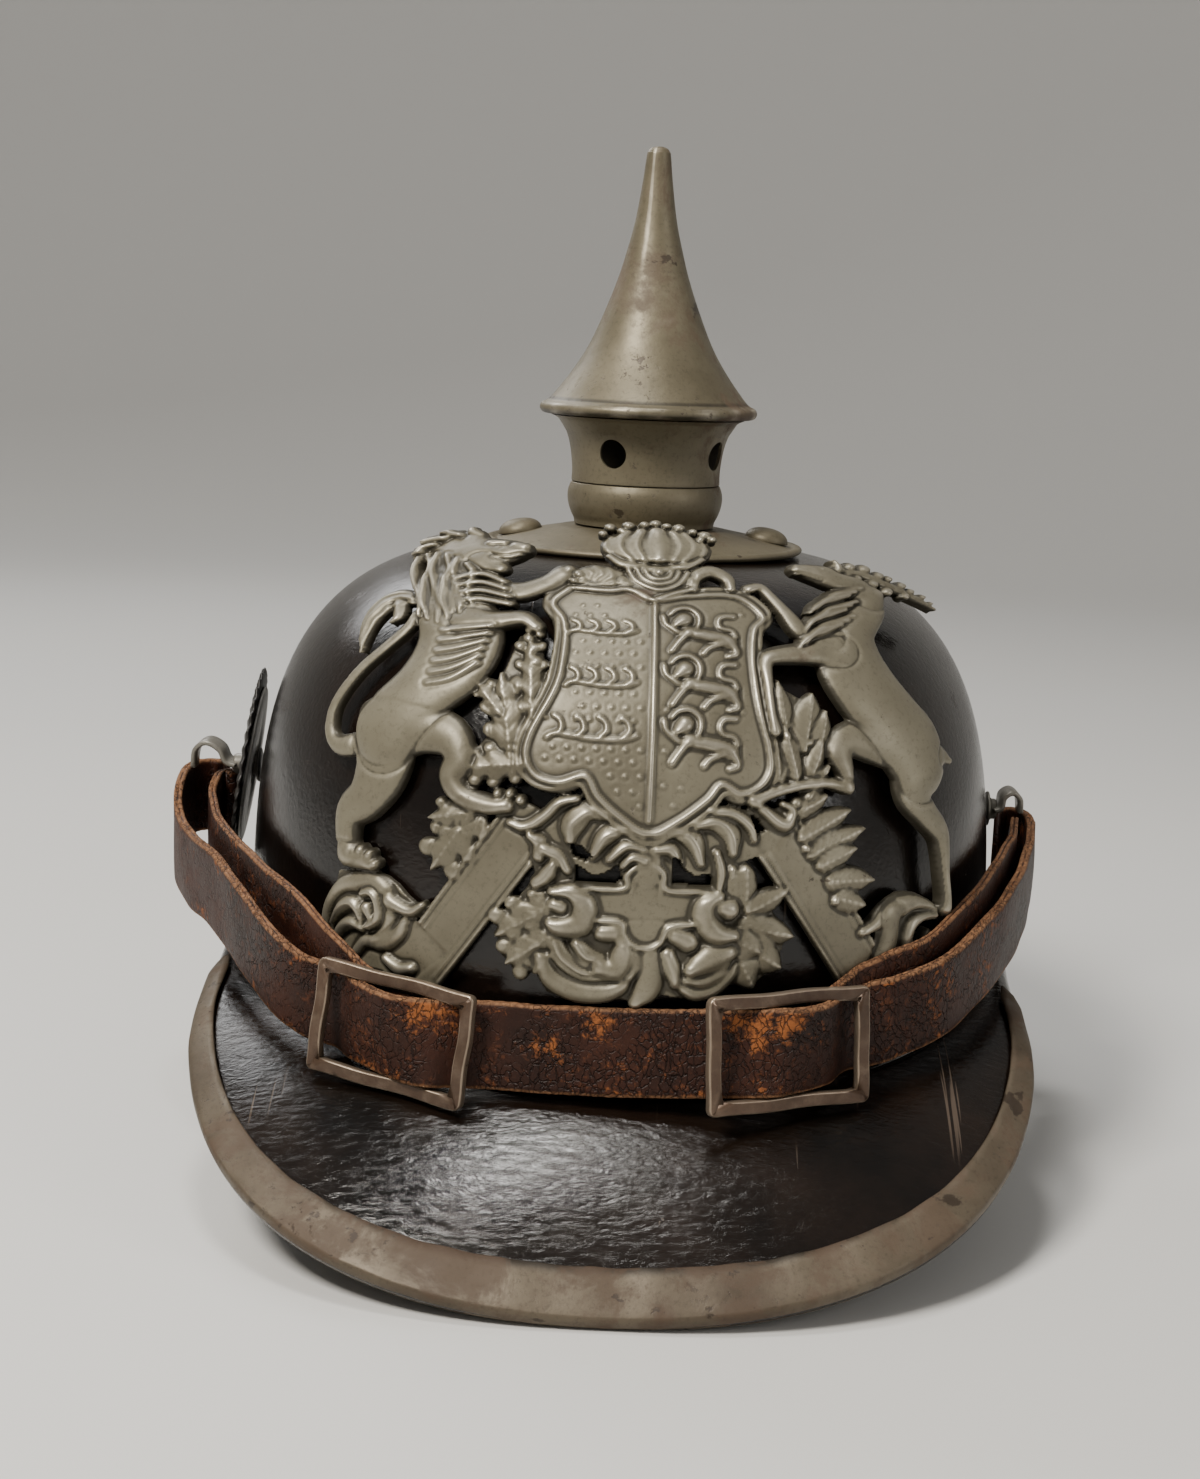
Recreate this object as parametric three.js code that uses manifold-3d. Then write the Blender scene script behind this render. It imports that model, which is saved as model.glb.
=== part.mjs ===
// Spiked leather parade and field helmet with a stamped front plate, a removable
// spike and a buckled chin strap worn over the front visor.
// Millimetres, +Z up, the wearer looks along -Y. The helmet stands on its two visors.
import * as THREE from 'three';
import { mergeVertices } from 'three/addons/utils/BufferGeometryUtils.js';
import Module from 'manifold-3d';

const wasm = await Module();
wasm.setup();

// ---- driving dimensions -------------------------------------------------------

const GAP = 0.3;                    // clearance between pieces that touch

// leather skull: a squarish dome on an oval plan
const SKULL_X = -2.5;               // the dome's middle, off the spike's axis
const SKULL_HALF_WIDTH = 91.5;
const SKULL_HALF_LENGTH = 108;
const SKULL_PLAN_POWER = 2.15;      // 2 is an ellipse, more is squarer
const SKULL_BASE_Z = 30;
const SKULL_RISE = 110.7;
const SKULL_DOME_POWER = 3.8;
const SKULL_WALL = 2.4;
const SKULL_HOLE_R = 12.5;          // air hole under the spike
const RIM_FRONT_Z = 30.2;            // lower edge of the skull, arched over the ears
const RIM_SIDE_Z = 46;
const RIM_REAR_Z = 44;
const RIM_BLEND_Z = 78;             // above this the dome knows nothing of the rim

// leather visors, sewn to the skull's lower edge
const VISOR_THICK = 2.6;
const VISOR_LAP = 2.6;                // overlap of the visor on the skull
const FRONT_VISOR = {
  x: -2.6, y: -30, reachX: 97.2, reachY: 121, power: 2.75,
  rise: 49, risePower: 1.04, crown: 4, lowest: 0.5, lapAngle: 80,
};
const REAR_VISOR = {
  x: -2.6, y: 25, reachX: 96, reachY: 115, power: 2.5,
  rise: 49, risePower: 1.1, crown: 3, lowest: -0.8, lapAngle: 82,
};
const VISOR_END_ANGLE = 96;         // half the fan of each visor
const VISOR_FADE_ANGLE = 66;        // from here its edge runs in to the skull
const TRIM_WIDTH = 11.5;
const TRIM_METAL = 0.8;
const TRIM_FLOOR_GAP = 0.78;         // clear height between the trim's lining and the leather

// spike and its seat
const DISC_R = 39.5;
const DISC_Z = 143.1;               // where the studs stand on the disc's slope
const STUD_RING_R = 30.6;
const STUD_R = 5.5;
const STUD_RISE = 3;
const COLLAR_Z = 146.5;             // foot of the round collar that carries the spike
const JOINT_Z = 156.2;              // the bayonet seam
const FLANGE_Z = 172.4;
const VENT_R = 3.5;
const VENT_Z = 163.6;
const VENT_FIRST_ANGLE = -26;       // from the front, towards +X

// front plate: a stamped sheet bent round the dome
const PLATE_BEND_R = 88.5;
const PLATE_TURN = 3.2;             // degrees round the skull's own axis, towards +X
const PLATE_LEAN = 20;              // how far the wings droop at the top, degrees
const PLATE_SMOOTHING = 0.03;       // steps smaller than this are left out of its relief
const PLATE_EDGE_MAX = 20;          // longest edge left flat on the bent sheet

// chin strap, buckles, side posts and cockades
const STRAP_WIDTH = 18.4;
const STRAP_THICK = 2.2;
const STRAP_LEAN_SIDE = 12;          // degrees its top edge stands out beside the buckles
const STRAP_LEAN_FRONT = -6;         // and in the middle, where its lower edge stands out
const BUCKLE_BAR = 2.5;
const BUCKLE_THICK = 2.2;
const BUCKLE_TILT = 6;              // degrees their tops lean back
const COCKADE_R = 25;
const COCKADE_TEETH = 36;

// the box of the whole helmet stands centred on the origin
const ORIGIN_X = -6.6;
const ORIGIN_Y = -6;

// ---- materials ----------------------------------------------------------------

const finish = (color, roughness, metalness) =>
  new THREE.MeshStandardMaterial({ color, roughness, metalness });

// colour, roughness, metalness
const GREY_STEEL = [0x7d7a66, 0.5, 0.6];
const BLACK_LEATHER = [0x16110e, 0.35, 0];
const STRAP_LEATHER = [0x3a1f14, 0.6, 0];
const BUCKLE_STEEL = [0x4b3d33, 0.45, 0.8];
const BLACK_PAINT = [0x0e0d0c, 0.4, 0.3];

// ---- helpers --------------------------------------------------------------------

const group = new THREE.Group();
group.position.set(-ORIGIN_X, -ORIGIN_Y, 0);

function add(name, geometry, look) {
  const mesh = new THREE.Mesh(geometry, finish(...look));
  mesh.name = name;
  group.add(mesh);
  return mesh;
}

// the same surface with shared corners, ready for a boolean
function weld(geometry) {
  const bare = geometry.clone();
  bare.deleteAttribute('normal');
  bare.deleteAttribute('uv');
  return mergeVertices(bare, 1e-4);
}

function solidOf(geometry) {
  const bare = weld(geometry);
  return new wasm.Manifold(new wasm.Mesh({
    numProp: 3,
    vertProperties: new Float32Array(bare.attributes.position.array),
    triVerts: new Uint32Array(bare.index.array),
  }));
}

function geometryOf(solid) {
  const mesh = solid.getMesh();
  const geometry = new THREE.BufferGeometry();
  geometry.setAttribute('position', new THREE.BufferAttribute(mesh.vertProperties, 3));
  geometry.setIndex(new THREE.BufferAttribute(mesh.triVerts, 1));
  return geometry;
}

// moves every corner of a geometry to place(x, y, z)
function shaped(geometry, place) {
  const bare = weld(geometry);
  const spots = bare.attributes.position;
  for (let i = 0; i < spots.count; i += 1) {
    const p = place(spots.getX(i), spots.getY(i), spots.getZ(i));
    spots.setXYZ(i, p.x, p.y, p.z);
  }
  return bare;
}

// a closed outline run along a path of `steps` slices; place(a, b, t) with t from 0 to 1
function swept(outline, steps, place) {
  const section = new THREE.Shape(outline.map(([a, b]) => new THREE.Vector2(a, b)));
  const bar = new THREE.ExtrudeGeometry(section, { depth: 1, steps, bevelEnabled: false });
  return shaped(bar, place);
}

// a lathe turned upright from a closed profile, whose rows are [radius, z]
function turned(rows, sides) {
  const profile = rows.map(([r, z]) => new THREE.Vector2(r, z));
  if (THREE.ShapeUtils.isClockWise(profile)) {
    profile.reverse();
  }
  const onAxis = profile.findIndex((spot, i) => spot.x === 0 && profile.at(i - 1).x === 0);
  const start = Math.max(onAxis, 0);
  const ring = [...profile.slice(start), ...profile.slice(0, start)];
  const lathe = new THREE.LatheGeometry(onAxis < 0 ? [...ring, ring[0]] : ring, sides);
  return shaped(lathe, (x, y, z) => new THREE.Vector3(x, -z, y));
}

const radians = THREE.MathUtils.degToRad;
const mix = THREE.MathUtils.lerp;

// radius of the unit squircle in a direction
function squircle(angle, power) {
  const s = Math.abs(Math.sin(angle)) ** power;
  const c = Math.abs(Math.cos(angle)) ** power;
  return (s + c) ** (-1 / power);
}

// ---- skull ------------------------------------------------------------------------

const rimHeight = (angle) => {
  const forward = Math.cos(angle);
  const end = forward > 0 ? RIM_FRONT_Z : RIM_REAR_Z;
  return mix(RIM_SIDE_Z, end, Math.abs(forward));
};

// point of the dome at an angle from the front, `inset` below the outer face
function domePoint(angle, z, inset = 0) {
  const level = Math.max(z - SKULL_BASE_Z, 0) / (SKULL_RISE - inset);
  const shrink = Math.max(1 - level ** SKULL_DOME_POWER, 0) ** (1 / SKULL_DOME_POWER);
  const sx = Math.sin(angle) / (SKULL_HALF_WIDTH - inset);
  const sy = Math.cos(angle) / (SKULL_HALF_LENGTH - inset);
  const sum = Math.abs(sx) ** SKULL_PLAN_POWER + Math.abs(sy) ** SKULL_PLAN_POWER;
  const r = shrink * sum ** (-1 / SKULL_PLAN_POWER);
  return new THREE.Vector3(SKULL_X + r * Math.sin(angle), -r * Math.cos(angle), z);
}

function makeSkull() {
  const levels = [0, 0.2, 0.42, 0.58, 0.7, 0.79, 0.86, 0.91, 0.95, 0.98];
  const outer = levels.map((level) => [1, SKULL_BASE_Z + SKULL_RISE * level]);
  const inner = levels.map((level) => [0.5, SKULL_BASE_Z + (SKULL_RISE - SKULL_WALL) * level]);
  const top = SKULL_BASE_Z + SKULL_RISE;
  const hole = [[1, top], [0.5, top - SKULL_WALL]];
  const rows = [...outer, ...hole, ...inner.reverse()];
  const place = (x, y, z) => {
    const angle = Math.atan2(x, -y);
    const inset = Math.hypot(x, y) > 0.75 ? 0 : SKULL_WALL;
    const full = SKULL_RISE - inset;
    if (z >= SKULL_BASE_Z + full - 0.01) {
      const point = new THREE.Vector3(Math.sin(angle), -Math.cos(angle), 0);
      return point.multiplyScalar(SKULL_HOLE_R).setZ(z - 0.05);
    }
    if (z < RIM_BLEND_Z) {
      const rim = rimHeight(angle);
      const share = (z - SKULL_BASE_Z) / (RIM_BLEND_Z - SKULL_BASE_Z);
      return domePoint(angle, mix(rim, RIM_BLEND_Z, share), inset);
    }
    return domePoint(angle, z, inset);
  };
  return shaped(turned(rows, 36), place);
}

add('skull', makeSkull(), BLACK_LEATHER);

// ---- visors and the metal edge of the front one -------------------------------------

// side is -1 for the front visor and +1 for the rear one; fan runs from -1 to 1
function visorFrame(visor, side, fan, depth) {
  const angle = radians(VISOR_END_ANGLE * fan);
  const lap = radians(visor.lapAngle * fan);
  const skullAngle = side < 0 ? lap : Math.PI - lap;
  const seatZ = rimHeight(skullAngle) + VISOR_LAP;
  const seat = domePoint(skullAngle, seatZ, -GAP - VISOR_THICK / 2);
  const k = squircle(angle, visor.power);
  const edge = new THREE.Vector3(
    visor.x + visor.reachX * k * Math.sin(angle),
    visor.y + side * visor.reachY * k * Math.cos(angle),
    visor.lowest + visor.rise * (1 - Math.cos(angle)) ** visor.risePower,
  );
  const away = seat.clone().sub(new THREE.Vector3(SKULL_X, 0, seat.z)).normalize();
  const stub = seat.clone().addScaledVector(away, 3).setZ(seatZ - 6);
  const fade = THREE.MathUtils.smoothstep(Math.abs(fan) * VISOR_END_ANGLE, VISOR_FADE_ANGLE,
    VISOR_END_ANGLE);
  edge.lerp(stub, fade);
  const out = edge.clone().sub(seat).setZ(0).normalize();
  const crest = seat.clone().lerp(edge, 0.5).addScaledVector(out, visor.crown * 0.7);
  crest.z += visor.crown * (1 - fade);
  const curve = new THREE.QuadraticBezierCurve3(seat, crest, edge);
  const point = curve.getPoint(depth);
  const along = curve.getTangent(depth);
  const run = Math.hypot(along.x, along.y);
  const up = new THREE.Vector3(-out.x * along.z, -out.y * along.z, run).normalize();
  return { point, along, up, length: seat.distanceTo(edge) };
}

// share of the visor's depth that lies `width` in from its edge
const edgeShare = (width, length) => width / Math.max(length, TRIM_WIDTH * 1.6);

const VISOR_FANS = 32;              // slices across the visor
const VISOR_ROWS = 4;               // slices from the seam to the edge; the last is the trim's

function makeVisor(visor, side, trimmed) {
  const plank = new THREE.BoxGeometry(2, 1, 1, VISOR_FANS, VISOR_ROWS, 1);
  const inner = 1 - 1 / VISOR_ROWS;
  return shaped(plank, (x, y, z) => {
    const fan = side < 0 ? x : -x;
    const row = 0.5 - y;
    const { length } = visorFrame(visor, side, fan, 1);
    const share = edgeShare(TRIM_WIDTH, length);
    const depth = row < inner ? row / inner * (1 - share) : mix(1 - share, 1, (row - inner) / (1 - inner));
    const { point, along, up } = visorFrame(visor, side, fan, depth);
    const spot = point.addScaledVector(up, z * VISOR_THICK);
    if (trimmed && row > 0.99) {
      spot.addScaledVector(along, -(TRIM_METAL + GAP));
    }
    spot.z = Math.max(spot.z, trimmed ? TRIM_METAL + TRIM_FLOOR_GAP : 0);
    return spot;
  });
}

add('front_visor', makeVisor(FRONT_VISOR, -1, true), BLACK_LEATHER);
add('rear_visor', makeVisor(REAR_VISOR, 1, false), BLACK_LEATHER);

function makeTrim() {
  const inside = VISOR_THICK / 2 + 2 * GAP;
  const outside = inside + TRIM_METAL;
  const nose = 1.1;
  const outline = [
    [TRIM_WIDTH, inside], [TRIM_WIDTH, outside], [nose, outside], [0, outside - nose],
    [0, nose - outside], [nose, -outside], [TRIM_WIDTH, -outside],
    [TRIM_WIDTH, -inside], [TRIM_METAL, -inside], [TRIM_METAL, inside],
  ].reverse();
  const slices = VISOR_FANS - 6;
  const reach = slices / VISOR_FANS;
  return swept(outline, slices, (a, b, t) => {
    const fan = mix(-reach, reach, t);
    const { length } = visorFrame(FRONT_VISOR, -1, fan, 1);
    const { point, up } = visorFrame(FRONT_VISOR, -1, fan, 1 - edgeShare(a, length));
    const spot = point.addScaledVector(up, b);
    const onLining = Math.abs(b) < inside + 0.01 && a > 0;
    spot.z = Math.max(spot.z, onLining ? TRIM_METAL : 0);
    return spot;
  });
}

add('visor_trim', makeTrim(), GREY_STEEL);

// ---- spike, neck, collar and disc --------------------------------------------------------

// radius and height of each row, as in the other turned pieces
const discRows = [
  [13.5, 145.2], [19.5, 145.4], [21.5, 144.2], [31, 142.6], [DISC_R - 1, 141.4], [DISC_R, 140.6],
  [DISC_R, 139.9], [DISC_R - 1, 139.8], [31, 141.2], [21, 142.9], [13.5, 143.4],
];
add('base_disc', turned(discRows, 24), GREY_STEEL);

['front', 'right', 'back', 'left'].forEach((side, quarter) => {
  const angle = quarter * Math.PI / 2;
  const dome = [0, 30, 60].map((lift) => [
    STUD_R * Math.cos(radians(lift)),
    STUD_RISE * Math.sin(radians(lift)),
  ]);
  const mesh = add(`stud_${side}`, turned([[0, 0], ...dome, [0, STUD_RISE]], 12), GREY_STEEL);
  const slope = Math.atan2(1.6, 9.5);
  mesh.position.set(STUD_RING_R * Math.sin(angle), -STUD_RING_R * Math.cos(angle), DISC_Z);
  mesh.rotation.set(slope * Math.cos(angle), slope * Math.sin(angle), 0);
});

const collarRows = [
  [14, COLLAR_Z - 0.8], [17.4, COLLAR_Z - 0.8], [17.6, COLLAR_Z + 1], [18.8, COLLAR_Z + 4],
  [19.2, COLLAR_Z + 6.5], [19, COLLAR_Z + 8.6], [18.2, JOINT_Z - GAP], [14, JOINT_Z - GAP],
];
add('base_collar', turned(collarRows, 28), GREY_STEEL);

function makeNeck() {
  const wall = [
    [18.2, JOINT_Z], [18.4, JOINT_Z + 5], [19.2, JOINT_Z + 9.3], [20.4, JOINT_Z + 12.6],
    [22, JOINT_Z + 15.2], [23.8, FLANGE_Z - GAP], [21.2, FLANGE_Z - GAP],
  ];
  const lining = [[18.4, JOINT_Z + 8], [17.2, JOINT_Z + 3], [16.4, JOINT_Z]];
  let neck = solidOf(turned([...wall, ...lining], 28));
  for (let i = 0; i < 4; i += 1) {
    const angle = radians(VENT_FIRST_ANGLE + 90 * i);
    const drill = new THREE.CylinderGeometry(VENT_R, VENT_R, 12, 10);
    drill.rotateZ(Math.PI / 2);
    drill.rotateZ(angle - Math.PI / 2);
    drill.translate(19 * Math.sin(angle), -19 * Math.cos(angle), VENT_Z);
    neck = neck.subtract(solidOf(drill));
  }
  return geometryOf(neck);
}

add('spike_neck', makeNeck(), GREY_STEEL);

// radius and height of the spike's outer face, from the flange to the tip
const SPIKE_ROWS = [
  [26.2, FLANGE_Z], [26.8, FLANGE_Z + 0.9], [26.6, FLANGE_Z + 2.2], [25.4, FLANGE_Z + 3], [23.4, 177.2],
  [19.2, 182.8], [15.3, 189.2], [11.8, 197.2], [8.7, 205.6], [6.6, 213], [5, 219.8], [3.7, 228],
  [2.9, 235], [2.1, 236.6],
];
const spikeUnderside = [[0, FLANGE_Z + 2], [21, FLANGE_Z + 1.2], [22, FLANGE_Z]];
add('spike', turned([...spikeUnderside, ...SPIKE_ROWS, [0, 237.1]], 28), GREY_STEEL);

// ---- back strip: runs down the middle of the dome from the disc to the rear visor --------

function makeSpine() {
  const width = 9;
  const metal = 0.9;
  const foot = radians(3.6);                    // round the dome's side, up to the disc's edge
  const top = radians(81.2);
  return swept([[-width / 2, 0], [width / 2, 0], [width / 2, metal], [-width / 2, metal]], 22,
    (a, b, t) => {
      const share = Math.sin(mix(foot, top, t)) ** (2 / SKULL_DOME_POWER);
      const z = SKULL_BASE_Z + (SKULL_RISE + GAP + b) * share;
      const spot = domePoint(Math.PI, z, -GAP - b);
      spot.x += a;
      return spot;
    });
}

add('rear_spine', makeSpine(), GREY_STEEL);

// ---- front plate ------------------------------------------------------------------------------

// the plate's middle line, from its foot up to the crown's top: y and z off the skull's axis
const PLATE_LINE = new THREE.CatmullRomCurve3([
  [-109.9, 54], [-109.4, 75], [-106.3, 95], [-99.2, 113], [-87, 128.5], [-72.5, 140], [-58, 149],
].map(([y, z]) => new THREE.Vector3(0, y, z)), false, 'centripetal');
const PLATE_HEIGHT = PLATE_LINE.getLength();

// lays a point of the flat plate (u across, v up, w off the sheet) on the helmet
function onPlate(u, v, w) {
  const share = THREE.MathUtils.clamp(v / PLATE_HEIGHT, 0, 1);
  const middle = PLATE_LINE.getPointAt(share);
  const rise = PLATE_LINE.getTangentAt(share);
  const beyond = v - share * PLATE_HEIGHT;
  middle.addScaledVector(rise, beyond);
  const bend = u / PLATE_BEND_R;
  const lean = radians(PLATE_LEAN) * THREE.MathUtils.clamp((v - 55) / 60, 0, 1.1);
  const back = (PLATE_BEND_R + w) * (1 - Math.cos(bend)) - w;
  const spot = new THREE.Vector3(
    (PLATE_BEND_R + w) * Math.sin(bend),
    middle.y + back * Math.cos(lean),
    middle.z - back * Math.sin(lean),
  );
  spot.applyAxisAngle(new THREE.Vector3(0, 0, 1), radians(PLATE_TURN));
  return spot.setX(spot.x + SKULL_X);
}

// Each limb is a row of rounds, [u, v, half width], run together at one height off the
// sheet's back; a limb of one round is a berry or a leaf's end.
const LOW = 2.2;
const HIGH = 3.4;
const LION = [
  [HIGH, [[-50, 110, 3.6], [-43, 114, 3.6], [-38, 115, 2.6]]],
  [HIGH, [[-44, 108, 7.5], [-35, 107, 5.5], [-28, 108, 3]]],
  [HIGH, [[-46, 100, 8], [-44, 90, 9], [-43, 82, 8.6], [-48, 71, 6.8], [-54, 62, 6.6], [-60, 53, 8.4]]],
  [LOW, [[-40, 93, 4.4], [-27, 95.6, 2.6], [-19, 98.6, 2.6], [-12, 98, 3.4]]],
  [LOW, [[-38, 84, 4], [-27, 84, 2.2], [-25.5, 78, 3]]],
  [LOW, [[-60, 53, 8], [-61, 45, 6.6], [-67, 37.5, 4], [-69.5, 31, 3.2], [-67, 25, 4.4], [-61.5, 25, 3]]],
  [LOW, [[-56, 55, 6], [-47, 55, 5], [-42, 50, 3.6], [-39, 43.5, 3], [-31, 42, 2.8], [-25, 44.5, 2]]],
  [LOW, [[-68, 50, 3], [-75, 50, 2.2], [-76, 56, 2], [-71, 65, 1.8], [-62, 74.5, 1.8], [-52.5, 84, 1.8]]],
  [LOW, [[-52, 92, 3.4], [-60, 92, 3.4], [-65, 86, 2.8], [-67, 78, 1.2]]],
];
const STAG = [
  [HIGH, [[33, 105.4, 1.8], [40, 104, 3], [48, 101.5, 4.4]]],
  [HIGH, [[48, 100, 5], [48.5, 93, 7.4], [44, 86, 7], [47, 75, 8], [52.5, 66, 8]]],
  [HIGH, [[52.5, 66, 8], [58, 58, 7.4], [65, 51, 6.8]]],
  [HIGH, [[37.5, 96.5, 5.4], [38, 89.5, 4.6]]],
  [LOW, [[44, 106.5, 2.4], [52, 108, 2.4], [58, 105, 2.6], [64.5, 101.5, 2.4], [72, 98, 1.6]]],
  [LOW, [[37, 83, 3.2], [30.5, 88, 2.2], [25, 95.6, 2], [21, 96, 1.8]]],
  [LOW, [[42, 79, 4.6], [32, 78, 3], [25, 77, 2.4], [22.8, 70, 1.6], [23.5, 62, 1.4]]],
  [LOW, [[58, 55, 6], [46, 56, 4.6], [41.5, 57, 2.6], [41.5, 48.5, 2.2], [34, 46.4, 1.8], [22, 44.6, 1.4]]],
  [LOW, [[66, 50, 6.4], [63.5, 43, 4.4], [69, 35.6, 2.8], [73, 31, 2.4], [72.6, 24, 1.9], [74, 17, 2.2]]],
];
const SCROLL_FEET = [
  [LOW, [[-71, 15, 5.6], [-62, 15, 6.6], [-55, 16.5, 4], [-49, 17.6, 1.6]]],
  [LOW, [[-73, 9, 4.6], [-63, 7, 5.6], [-50.6, 6.4, 4.6]]],
  [LOW, [[49, 13.5, 2.6], [55, 18, 2.4], [62, 19.6, 2.4], [70, 17, 2.8]]],
  [LOW, [[55, 17, 2.2], [52, 8, 2.4]]],
  [LOW, [[64, 18, 2.6], [61, 12, 2.4], [67, 12, 2.6]]],
];
const LEAVES = [
  [LOW, [[-26.5, 77, 3.6], [-27.5, 69, 4], [-31, 60, 5], [-33, 51, 5], [-27, 47, 3]]],
  [LOW, [[-33, 66, 3], [-38, 63, 2]]],
  [LOW, [[-36, 55, 3.4], [-38, 48, 3.4]]],
  [LOW, [[-38, 37, 4.4], [-43, 31, 4.2], [-46, 25.5, 2.4]]],
  [LOW, [[-44, 37, 2.6], [-34, 33, 3.4]]],
  [LOW, [[29, 50, 3], [28, 60, 2.6], [27, 67.5, 0.8]]],
  [LOW, [[33, 46, 2.4], [37, 54, 2.4], [38, 62, 0.8]]],
  [LOW, [[28, 42, 3], [34, 42.6, 2.6], [38.6, 42.6, 0.8]]],
  [LOW, [[31, 38, 2.6], [38, 38.6, 2.4], [43, 40, 0.8]]],
  [LOW, [[34, 34, 2.6], [41, 34.5, 2.4], [47, 36, 0.8]]],
  [LOW, [[36, 29, 2.6], [42, 30, 2.2], [46.5, 31.6, 0.8]]],
  [LOW, [[38, 24, 2.6], [44, 26, 2.2], [50, 26, 0.8]]],
  [LOW, [[40, 20, 2.6], [43, 21.6, 2.2], [48, 21, 0.8]]],
];
const ACANTHUS = [
  [LOW, [[-26, 40, 2.6], [-18, 39, 3], [-9, 38.6, 3], [0, 38, 3], [9, 38.6, 3], [18, 39.6, 3]]],
  [LOW, [[18, 39.6, 3], [26, 42, 2.6]]],
  [LOW, [[-14, 37, 3], [-20, 33, 2.6], [-22, 28, 2.4], [-18.5, 25, 1.6]]],
  [LOW, [[-5, 36.5, 3.4], [-9, 33, 2.4], [-10.5, 30.6, 1]]],
  [LOW, [[0, 36, 3.4], [0.5, 28, 3.4], [0, 21, 3.6]]],
  [LOW, [[5, 36.5, 3.4], [8, 32.5, 2.2], [8.6, 30.4, 1]]],
  [LOW, [[14, 37, 3.2], [17.5, 31, 3.2], [20, 25, 3.2], [24, 20.6, 3.4]]],
];
const FRUIT = [
  [HIGH, [[-15, 19.6, 5.4]]],
  [HIGH, [[15, 19.6, 5.4]]],
  [LOW, [[-30, 14.6, 3.2], [-25, 19.5, 3.6], [-20, 22, 3]]],
  [LOW, [[-27, 10, 3.4], [-21, 13, 4.4], [-14, 9, 5], [-17, 4, 3.6]]],
  [HIGH, [[-9, 14, 3.8], [-8, 6, 4.6]]],
  [HIGH, [[0, 13, 4.2], [0, 3.6, 3.4]]],
  [HIGH, [[8.6, 14, 3.6], [8, 7, 4.6]]],
  [LOW, [[15, 10, 4.2], [14.5, 4.4, 3.4]]],
  [LOW, [[20, 15, 4], [21.5, 8, 4.2], [26, 11, 3]]],
];
const CROWN = [
  [HIGH, [[-4.6, 110, 4.6]]],
  [HIGH, [[1.2, 110.4, 5]]],
  [HIGH, [[7, 110, 4.6]]],
  [HIGH, [[-6, 103.8, 2.4], [1.2, 102.4, 2.4], [8.4, 103.8, 2.4]]],
  [HIGH, [[-8, 115.4, 1.8], [1.2, 117, 2], [12.4, 114.6, 1.8]]],
  [LOW, [[-13.6, 97.4, 3.4], [-6, 98.6, 3.2], [1.2, 98, 3.4], [9, 97.4, 2.6]]],
  [LOW, [[9.4, 96.6, 2], [10.6, 100.6, 1.8], [15.4, 100.8, 1.8], [18, 96, 1.8]]],
];
const LIMB_TABLES = [LION, STAG, SCROLL_FEET, LEAVES, ACANTHUS, FRUIT, CROWN];

// outline of the left half of the shield, from the top middle down to the point: u, v
const SHIELD_SIDE = [
  [0, 93], [-7, 94.4], [-17.6, 94.6], [-22.6, 88], [-21.4, 79], [-21.6, 69], [-24.4, 58],
  [-25, 51.6], [-22.6, 48], [-17, 47.6], [-13.4, 48.4], [-9.6, 42.6], [0, 38],
];
const SHIELD_RIM = 1.5;
const SHIELD_SINK = 0.9;

// ribbons and the cartouche, left bare: middle line ends and half width, [u, v, half width]
const RIBBONS = [
  [[-29.4, 36, 6.2], [-48.6, 4.6, 6.2]],
  [[24.6, 36, 6.2], [44.6, 6.6, 6.2]],
];
const CARTOUCHE = [[-18, 25], [-18, 17], [-6, 17], [-4, 13], [4, 13], [6, 17], [18, 17], [18, 25]];

// the outline that runs round a limb, one side and then the other, with a blunt nose at each end
function limbOutline(rounds) {
  const spots = rounds.map(([u, v]) => new THREE.Vector2(u, v));
  const last = spots.length - 1;
  const around = (i, degrees) => {
    const ahead = spots[Math.min(i + 1, last)].clone().sub(spots[Math.max(i - 1, 0)]);
    const angle = ahead.angle() + radians(degrees);
    const reach = rounds[i][2];
    return [spots[i].x + reach * Math.cos(angle), spots[i].y + reach * Math.sin(angle)];
  };
  const indexes = rounds.map((_, i) => i);
  const nose = [60, 0, -60].map((turn) => around(last, turn));
  const tail = [-120, 180, 120].map((turn) => around(0, turn));
  if (last === 0) {
    return [...nose, ...tail];
  }
  const left = indexes.map((i) => around(i, 90));
  const right = indexes.reverse().map((i) => around(i, -90));
  return [...left, ...nose, ...right, ...tail];
}

function slab(outline, height, foot = 0) {
  const shape = new THREE.Shape(outline.map(([u, v]) => new THREE.Vector2(u, v)));
  const block = new THREE.ExtrudeGeometry(shape, { depth: height - foot, bevelEnabled: false });
  block.translate(0, 0, foot);
  return solidOf(block);
}

function bar([u1, v1, r], [u2, v2], height, foot = 0) {
  const run = new THREE.Vector2(u2 - u1, v2 - v1).normalize().multiplyScalar(r);
  return slab([
    [u1 - run.y, v1 + run.x], [u1 + run.y, v1 - run.x],
    [u2 + run.y, v2 - run.x], [u2 - run.y, v2 + run.x],
  ], height, foot);
}

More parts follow.
